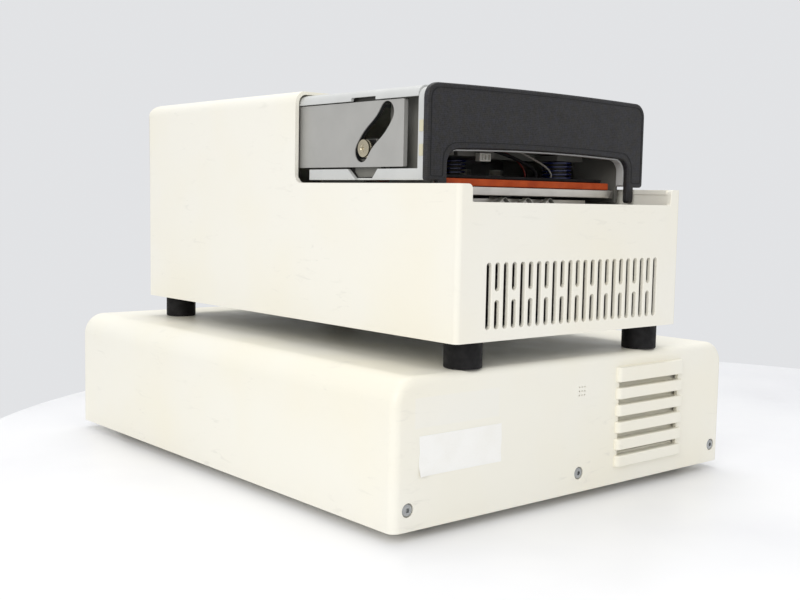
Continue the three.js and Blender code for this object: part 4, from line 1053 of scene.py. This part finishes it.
def lead_screw():
    """A shaft with a coarse rounded thread, and the coupling to the motor."""
    low, high = local_box("lead_screw", MODULE)
    x, z = 66, 65
    sides, pitch, root, crest = 28, 6, 3.35, 4.0
    start, stop, coupling = low.y, 305.5, high.y
    bm = bmesh.new()
    rings = []
    count = int((stop - start) / 0.75)
    for i in range(count + 1):
        y = start + (stop - start) * i / count
        ring = []
        for k in range(sides):
            turn = 2 * math.pi * k / sides
            wave = math.cos(2 * math.pi * y / pitch - 4 * turn / 4)
            r = root + (crest - root) * (0.5 + 0.5 * max(-1, min(1, 1.8 * wave)))
            if i in (0, count):
                r = root * 0.9
            ring.append(bm.verts.new((x + r * math.cos(turn), y, z + r * math.sin(turn))))
        rings.append(ring)
    for a, b in zip(rings, rings[1:]):
        for k in range(sides):
            bm.faces.new((a[k - 1], a[k], b[k], b[k - 1]))
    bm.faces.new(rings[0])
    bm.faces.new(rings[-1])
    bmesh.ops.recalc_face_normals(bm, faces=bm.faces)
    hub = turned("y", [(0, stop - 0.3), (7.4, stop - 0.3), (8, stop + 0.4), (8, stop + 3), (7.3, stop + 3.2),
                       (7.3, stop + 4.1), (8, stop + 4.3), (8, coupling - 0.6), (7.4, coupling),
                       (0, coupling)], 40, (x, z))
    piece("lead_screw_thread", joined(bm, hub), MODULE, STEEL, "drive_screw", "lead_screw")


def module_chassis():
    housing()
    tall_feet()
    sample_block()
    block_clips()
    lead_screw()
    eased_node("module_base_plate", MODULE, STEEL, "chassis", 0.4)
    rear_panel("module_rear_panel", MODULE, lambda low, high: rectangle(low.x, high.x, low.z, high.z, 0.8, 3))
    eased_node("module_link_socket", MODULE, NICKEL, "chassis", 0.25)
    contacts("module_link", "module_link_socket", MODULE, 2, upright=True)
    low, high = local_box("module_rear_panel", MODULE)
    spots = [(x, z) for x in (low.x + 5.5, high.x - 5.5) for z in (low.z + 5.5, high.z - 5.5)]
    panel_screws("module_panel_screw", spots, high.y, MODULE, 2.4)
    blank_label("module_rating_plate", (46, 78), (56, 70), high.y, MODULE)
    eased_node("chassis_side_left", MODULE, STEEL, "chassis", 0.4)
    eased_node("chassis_side_right", MODULE, STEEL, "chassis", 0.4)
    eased_node("block_frame", MODULE, BLACK_PLASTIC, "chassis", 0.4)
    eased_node("thermoelectric_layer", MODULE, CERAMIC, "chassis", 0.2)
    eased_node("heat_sink", MODULE, ALUMINIUM, "chassis", 0.25)
    eased_node("module_fan_frame", MODULE, BLACK_PLASTIC, "chassis", 0.5)
    fan_rotor("module_fan_rotor", MODULE, "module_fan")
    eased_node("module_board", MODULE, CIRCUIT, "chassis", 0.25)
    eased_node("drive_motor", MODULE, BLACK_PLASTIC, "chassis", 0.9, 3)
    eased_node("motor_bracket", MODULE, STEEL, "chassis", 0.4)


# ---------------------------------------------------------------- lid

def crown_points(half, shoulder, crown, rightwards=False):
    """Points along a gently crowned top, from right to left unless told otherwise."""
    spread = [k / 10 for k in range(-8, 9)]
    points = [(-s * half, crown - (crown - shoulder) * s * s) for s in spread]
    return points[::-1] if rightwards else points


BEZEL = {"half": 99.6, "bottom": 91.6, "shoulder": 148.2, "crown": 149.5, "corner": 9, "leg": (83.2, 90.3),
         "arch_shoulder": 110.2, "arch_crown": 112, "arch_corner": 9}


def bezel():
    low, high = local_box("lid_bezel", MODULE)
    half, leg_in, leg_out = BEZEL["half"], *BEZEL["leg"]
    bottom, shoulder, arch_top = BEZEL["bottom"], BEZEL["shoulder"], BEZEL["arch_shoulder"]
    roll, foot = 1.5, 2.2
    outline = [(leg_out, low.z, foot), (leg_out, bottom), (half, bottom, foot),
               (half, shoulder, BEZEL["corner"]), *crown_points(half, shoulder, BEZEL["crown"]),
               (-half, shoulder, BEZEL["corner"]), (-half, bottom, foot), (-leg_out, bottom),
               (-leg_out, low.z, foot), (-leg_in, low.z, foot), (-leg_in, arch_top, BEZEL["arch_corner"]),
               *crown_points(leg_in, arch_top, BEZEL["arch_crown"], rightwards=True),
               (leg_in, arch_top, BEZEL["arch_corner"]), (leg_in, low.z, foot)]
    front = low.y + 0.15
    bm = prism("y", fillet(outline, 9), front, high.y)
    bm = rounded_ring(bm, roll, 6, lambda a, b: abs(a.y - front) < 1e-4 and abs(b.y - front) < 1e-4)
    piece("lid_bezel_moulding", bm, MODULE, CHARCOAL, "lid", "lid_bezel")
    line = carved(border_line(2.6, 3.6, low.y, front + 0.2), border_line(3.1, 4.1, low.y - 1, front + 1))
    piece("lid_bezel_border_line", line, MODULE, BEZEL_PLASTIC, "lid")


def border_line(margin, arch_margin, front, back):
    """The solid inside a line drawn a margin in from the bezel's rim and from its arch."""
    bottom, shoulder, arch_top = BEZEL["bottom"], BEZEL["shoulder"], BEZEL["arch_shoulder"] + arch_margin
    outer, inner = BEZEL["half"] - margin, BEZEL["leg"][0] + arch_margin
    outline = [(outer, bottom + margin, 1.5), (outer, shoulder - margin, 6.5),
               *crown_points(outer, shoulder - margin, BEZEL["crown"] - margin),
               (-outer, shoulder - margin, 6.5), (-outer, bottom + margin, 1.5),
               (-inner, bottom + margin, 1.5), (-inner, arch_top, 11),
               *crown_points(inner, arch_top, BEZEL["arch_crown"] + arch_margin, rightwards=True),
               (inner, arch_top, 11), (inner, bottom + margin, 1.5)]
    return prism("y", fillet(outline, 9), front, back)


def arch_edging():
    """A pale strip behind the bezel, as deep as the frame's plate: a thin line round the arch."""
    front, back = local_box("lid_frame", MODULE)[0].y, local_box("heated_plate", MODULE)[0].y - 0.4
    half, radius = 84.2, BEZEL["arch_corner"]
    shoulder, crown = BEZEL["arch_shoulder"] + 1, BEZEL["arch_crown"] + 1
    loops = []
    for inset in (0, 1.7):
        reach = half - inset
        loops.append(fillet([(reach, 93 - inset), (reach, shoulder - inset, radius),
                             *crown_points(reach, shoulder - inset, crown - inset),
                             (-reach, shoulder - inset, radius), (-reach, 93 - inset)], 9))
    strip = carved(prism("y", loops[0], front, back), prism("y", loops[1], front - 1, back + 1))
    piece("lid_arch_edging", eased(strip, 0.15, 2), MODULE, LIGHT_GREY, "lid")


def lid_frame():
    """The frame behind the bezel; the side rails' outer flanges are cut through where the lift arms pass."""
    bm = from_node("lid_frame", MODULE)
    gap = [(79, 99.1), (109.4, 99.1), (100.3, 92), (85.3, 92)]
    gaps = [prism("x", gap, *sorted((side * 93.9, side * 97))) for side in (-1, 1)]
    bm = eased(carved(bm, joined(*gaps)), 0.45, 3)
    piece("lid_frame_moulding", bm, MODULE, LIGHT_GREY, "lid", "lid_frame")


def wall_bridges():
    """Bars that close the side walls' slots at the top, seen through the notches in the shell."""
    for hand, side in (("left", -1), ("right", 1)):
        bar = block(sorted((side * 88, side * 93.1)), (78.5, 107.5), (138.9, 143.6), 0.5)
        piece(f"lid_wall_bridge_{hand}", eased(bar, 0.5, 3), MODULE, DARK_GREY, "lid")


def lid_shell():
    low, high = local_box("lid_top_shell", MODULE)
    half, radius, wall = high.x, 6.4, 2
    outside = eased(prism("y", arch(half, low.z, high.z, radius, 12), low.y, high.y), 0.5, 3, 40)
    inside = prism("y", arch(half - wall, low.z - 1, high.z - wall, radius - wall, 8), low.y - 1, high.y + 1)
    notch = rectangle(80.8, 105, low.z - 3, 142.9, 0.9, 4)
    notches = [prism("x", notch, side * (half - wall - 1), side * (half + 1)) for side in (-1, 1)]
    bm = eased(carved(outside, inside, joined(*notches)), 0.25, 2, 50)
    piece("lid_top_cover", bm, MODULE, LIGHT_GREY, "lid", "lid_top_shell")


# face: how deep the slot's grey wall runs in from the outer face; the other number is the thickness of the
# black sheet behind it, which is painted shade inside the slot.
CAM = {"low": (95, 109.7), "high": (71, 132.8), "half": 6.7, "bow": 0.85, "steps": 28, "face": 0.7,
       "shade_sheet": 0.5}


def cam_slot(extra=0.0):
    """The cam slot's outline: an S-shaped middle line, low at the back, high in front, offset both ways."""
    start, end = Vector(CAM["low"]), Vector(CAM["high"])
    half, bow, steps = CAM["half"] + extra, CAM["bow"], CAM["steps"]
    run = end - start
    across = Vector((-run.y, run.x)).normalized()
    line = [start + run * (i / steps) - across * bow * math.sin(2 * math.pi * i / steps)
            for i in range(steps + 1)]

    def heading(i):
        step = line[min(i + 1, steps)] - line[max(i - 1, 0)]
        return math.atan2(step.y, step.x)

    def offset(i, turn):
        angle = heading(i) + turn
        return (line[i].x + half * math.cos(angle), line[i].y + half * math.sin(angle))

    quarter = math.pi / 2
    cap = [quarter * (1 - k / 8) for k in range(1, 16)]
    return ([offset(i, quarter) for i in range(steps + 1)] + [offset(steps, turn) for turn in cap]
            + [offset(i, -quarter) for i in range(steps, -1, -1)]
            + [offset(0, turn + math.pi) for turn in cap])


def cam_plates():
    for hand, side in (("left", -1), ("right", 1)):
        node = f"cam_plate_{hand}"
        low, high = local_box(node, MODULE)
        plate = prism("x", rectangle(low.y, high.y, low.z, high.z, 0.8, 4), low.x, high.x)
        bm = eased(carved(plate, prism("x", cam_slot(), low.x - 1, high.x + 1)), 0.25, 3, 40)
        # Behind a thin grey face the slot's wall is a black sheet set in a seat: painted shade inside the
        # slot.
        if side < 0:
            shade_sheet_x, seat_x = (low.x + CAM["face"], high.x), (low.x + CAM["face"], high.x + 1)
        else:
            shade_sheet_x, seat_x = (low.x, high.x - CAM["face"]), (low.x - 1, high.x - CAM["face"])
        seat = prism("x", cam_slot(CAM["shade_sheet"]), *seat_x)
        piece(node + "_sheet", carved(bm, seat), MODULE, CAM_GREY, "cam_slider", node)
        shade_sheet = carved(prism("x", cam_slot(CAM["shade_sheet"] - 0.05), *shade_sheet_x),
                       prism("x", cam_slot(0.0), shade_sheet_x[0] - 1, shade_sheet_x[1] + 1))
        piece(node + "_slot_painted_shade", shade_sheet, MODULE, BLACK_PLASTIC, "cam_slider")


def frame_tabs():
    """Two pale tabs on each side strip of the lid's frame."""
    low, high = local_box("lid_frame", MODULE)
    for hand, side in (("left", -1), ("right", 1)):
        for place, z in (("upper", 123.5), ("lower", 109.5)):
            x = sorted((side * (high.x - 1.4), side * (high.x + 0.35)))
            tab = block(x, (36.3, 39.8), (z - 3.4, z + 3.4), 0.3)
            piece(f"lid_tab_{hand}_{place}", eased(tab, 0.25, 2), MODULE, PALE_TAB, "lid")


def lid():
    bezel()
    lid_shell()
    cam_plates()
    frame_tabs()
    lid_frame()
    arch_edging()
    wall_bridges()
    eased_node("lid_wall_left", MODULE, LIFT_GREY, "lid", 0.4)
    eased_node("lid_wall_right", MODULE, LIFT_GREY, "lid", 0.4)
    eased_node("cam_crossbar", MODULE, STEEL, "cam_slider", 0.4)
    eased_node("drive_nut", MODULE, BRONZE, "cam_slider", 0.3)


# ---------------------------------------------------------------- platen

def die_spring(centre, bottom, top, inner, outer):
    """A coil of flat wire with closed ends."""
    turns, per_turn, wire = 5.4, 36, 1.25
    count = int(turns * per_turn)
    bm = bmesh.new()
    rings = []
    for i in range(count + 1):
        t = i / count
        angle = 2 * math.pi * turns * t
        rise = min(1.0, max(0.0, (t * turns - 0.7) / (turns - 1.4)))
        z = bottom + wire / 2 + (top - bottom - wire) * rise
        section = [(inner, z - wire / 2 + 0.25), (inner + 0.25, z - wire / 2), (outer - 0.25, z - wire / 2),
                   (outer, z - wire / 2 + 0.25), (outer, z + wire / 2 - 0.25), (outer - 0.25, z + wire / 2),
                   (inner + 0.25, z + wire / 2), (inner, z + wire / 2 - 0.25)]
        rings.append([bm.verts.new((centre.x + r * math.cos(angle), centre.y + r * math.sin(angle), h))
                      for r, h in section])
    for a, b in zip(rings, rings[1:]):
        for k in range(8):
            bm.faces.new((a[k - 1], a[k], b[k], b[k - 1]))
    bm.faces.new(rings[0])
    bm.faces.new(rings[-1])
    bmesh.ops.recalc_face_normals(bm, faces=bm.faces)
    return bm


def springs():
    for place in ("left", "right", "rear"):
        node = f"platen_spring_{place}"
        low, high = local_box(node, MODULE)
        centre = (low + high) / 2
        bm = die_spring(centre, low.z, high.z, 7.5, (high.x - low.x) / 2)
        piece(node + "_coil", bm, MODULE, SPRING_BLUE, "platen", node)
        profile = [(0, low.z), (6.2, low.z), (6.8, low.z + 0.6), (6.8, high.z - 0.2), (0, high.z - 0.2)]
        guide = turned("z", profile, 32, (centre.x, centre.y))
        piece(node + "_guide", guide, MODULE, SEAT_BROWN, "platen")


def rollers():
    for hand, side in (("left", -1), ("right", 1)):
        node = f"roller_{hand}"
        low, high = local_box(node, MODULE)
        centre = ((low.y + high.y) / 2, (low.z + high.z) / 2)
        inner, outer = (high.x, low.x) if side < 0 else (low.x, high.x)
        radius = (high.y - low.y) / 2

        def at(depth):
            return outer - side * depth

        profile = [(0, at(0.5)), (1.9, at(0.5)), (2.3, at(0.05)), (radius - 0.9, at(0)),
                   (radius - 0.2, at(0.35)), (radius, at(0.8)), (radius, at(1.5)), (radius - 0.5, at(1.7)),
                   (radius - 0.5, at(2.1)), (radius, at(2.3)), (radius, at(3.6)), (radius - 0.4, inner),
                   (2.1, inner), (2.1, at(1.2)), (0, at(1.2))]
        bm = turned("x", profile, 64, centre)
        socket = prism("x", circle(1.1, 6, centre, 0.3), *sorted((at(-1), at(0.95))))
        bm = eased(carved(bm, socket), 0.08, 2, 50)
        piece(node + "_wheel", bm, MODULE, NICKEL, f"cam_roller_{hand}", node)


def arm_pads():
    """Black wear pads on the lift arms, behind the rollers."""
    for hand, side in (("left", -1), ("right", 1)):
        low, high = local_box(f"roller_{hand}", MODULE)
        arm = low.x - 0.3 if side > 0 else high.x + 0.3
        outline = rectangle(85.3, 101.7, 105.3, 117.2, 1.5, 4)
        pad = prism("x", outline, *sorted((arm + side * 0.02, arm + side * 0.26)))
        piece(f"lift_arm_pad_{hand}", eased(pad, 0.06, 1), MODULE, RUBBER, "platen")


def lift_frame():
    bm = from_node("lift_frame", MODULE)
    low, high = local_box("lift_frame", MODULE)
    for v in bm.verts:
        if abs(v.co.x) > high.x - 0.05:
            v.co.x = math.copysign(high.x - 1.0, v.co.x)
    piece("lift_frame_casting", eased(bm, 0.5, 3), MODULE, LIFT_GREY, "platen", "lift_frame")


LEAD_ROUTE = [(-25.6, 70, 114.6), (-16, 68, 114.4), (-4, 64, 111.5), (8, 61, 107.5), (18, 60, 103.5),
              (23.4, 60, 99.9), (24, 60, 97)]
WIRE_ROUTES = {
    "red": [(-26, 72.5, 115.6), (-15, 71, 115.9), (-3, 67, 113.8), (7, 64.5, 109), (14, 64, 104),
            (18, 64.5, 99), (18.4, 65, 97)],
    "white": [(-26, 67.6, 113.6), (-12, 62, 115.2), (2, 57, 113.2), (16, 54, 108), (27, 53.2, 103),
              (31.5, 53.5, 99), (32, 54, 97)],
}


def wiring():
    lead = swept(smooth_path(LEAD_ROUTE), 1.1, 12)
    piece("heater_lead_sleeve", lead, MODULE, RUBBER, "platen", "heater_lead")
    for name, route in WIRE_ROUTES.items():
        material = WIRE_RED if name == "red" else WIRE_WHITE
        piece(f"sensor_wire_{name}", swept(smooth_path(route), 0.6, 10), MODULE, material, "platen")
    plug = eased(block((-31, -21), (57.4, 61.7), (105.6, 110.9), 0.5), 0.4, 3)
    slots = [block((x, x + 1.6), (56, 58.4), (106.6, 109.9)) for x in (-29.6, -26.8, -24)]
    piece("sensor_connector", carved(plug, joined(*slots)), MODULE, NYLON, "platen")


def terminals():
    low, high = local_box("terminal_block", MODULE)
    body = block((low.x, high.x), (low.y, high.y), (low.z, high.z), 0.6)
    well = [(0, high.z - 1.6), (1.2, high.z - 1.6), (1.2, high.z + 1), (0, high.z + 1)]
    lefts = [low.x + 1.2 + 3.6 * k for k in range(3)]
    wells = [turned("z", well, 20, (left + 1.2, high.y - 3)) for left in lefts]
    ports = [prism("y", rectangle(left, left + 2.4, low.z + 1, low.z + 3.2), low.y - 1, low.y + 2)
             for left in lefts]
    body = eased(carved(body, joined(*wells), joined(*ports)), 0.2, 2)
    piece("terminal_block_body", body, MODULE, NYLON, "platen", "terminal_block")


def platen():
    eased_node("heated_plate", MODULE, ALUMINIUM, "platen", 0.5, 3)
    low, high = local_box("silicone_pad", MODULE)
    pad = block((low.x, high.x), (low.y, high.y), (low.z, high.z), 3, 6)
    piece("silicone_pad_sheet", eased(pad, 0.7, 3), MODULE, SILICONE, "platen", "silicone_pad")
    eased_node("backing_plate", MODULE, RUBBER, "platen", 0.4)
    lift_frame()
    arm_pads()
    springs()
    rollers()
    wiring()
    terminals()


BEZEL_PLASTIC = plastic("bezel_edge", linear(20, 20, 21), 0.5, grain=0.4, relief=0.008, variation=0.1,
                        wear=0.05, Specular_IOR_Level=0.3).material

control_unit()
module_chassis()
lid()
platen()

# ---------------------------------------------------------------- table, light and camera

TABLE = {"centre": (0.164, -0.093), "radius": 0.515, "thickness": 0.03}


def table():
    x, y = TABLE["centre"]
    radius, thick = TABLE["radius"], TABLE["thickness"]
    edge = [(radius - 0.008, 0), (radius - 0.003, -0.0015), (radius, -0.006), (radius, -thick)]
    bm = turned("z", [(0, 0), *edge, (0, -thick)], 128, (x, y))
    mesh = bpy.data.meshes.new("table")
    bm.to_mesh(mesh)
    bm.free()
    mesh.materials.append(TABLE_WHITE)
    for face in mesh.polygons:
        face.use_smooth = True
    mesh.set_sharp_from_angle(angle=math.radians(40))
    obj = bpy.data.objects.new("table", mesh)
    bpy.context.scene.collection.objects.link(obj)


def soft_light(name, place, target, size, power, colour):
    light = bpy.data.lights.new(name, "AREA")
    light.shape = "RECTANGLE"
    light.size, light.size_y = size
    light.energy = power
    light.color = colour
    obj = bpy.data.objects.new(name, light)
    obj.location = place
    obj.rotation_euler = (Vector(target) - Vector(place)).to_track_quat("-Z", "Y").to_euler()
    bpy.context.scene.collection.objects.link(obj)


def lights():
    world = bpy.data.worlds.new("studio")
    world.use_nodes = True
    world.node_tree.nodes["Background"].inputs["Color"].default_value = (0.885, 0.895, 0.915, 1)
    world.node_tree.nodes["Background"].inputs["Strength"].default_value = 0.86
    bpy.context.scene.world = world
    middle = (0, 0, 0.12)
    soft_light("key_left", (-1.45, -0.95, 0.95), middle, (1.0, 1.0), 11, (1.0, 0.985, 0.95))
    soft_light("overhead", (0.3, 0.5, 1.7), middle, (1.3, 1.3), 11.5, (1.0, 0.995, 0.985))


CAMERA = {"place": (-0.5360, -0.6480, 0.1900), "right": (0.7633, -0.6457, 0.0192),
          "up": (0.0443, 0.0820, 0.9956), "ahead": (0.6445, 0.7591, -0.0912), "lens": 49.9}


def camera():
    lens = bpy.data.cameras.new("camera")
    lens.lens = CAMERA["lens"]
    lens.sensor_width = 36
    lens.clip_start = 0.01
    obj = bpy.data.objects.new("camera", lens)
    axes = (CAMERA["right"], CAMERA["up"], [-value for value in CAMERA["ahead"]])
    obj.matrix_world = Matrix.Translation(CAMERA["place"]) @ Matrix(axes).transposed().to_4x4()
    bpy.context.scene.collection.objects.link(obj)
    bpy.context.scene.camera = obj


table()
lights()
camera()
bpy.context.scene.view_settings.view_transform = "Standard"
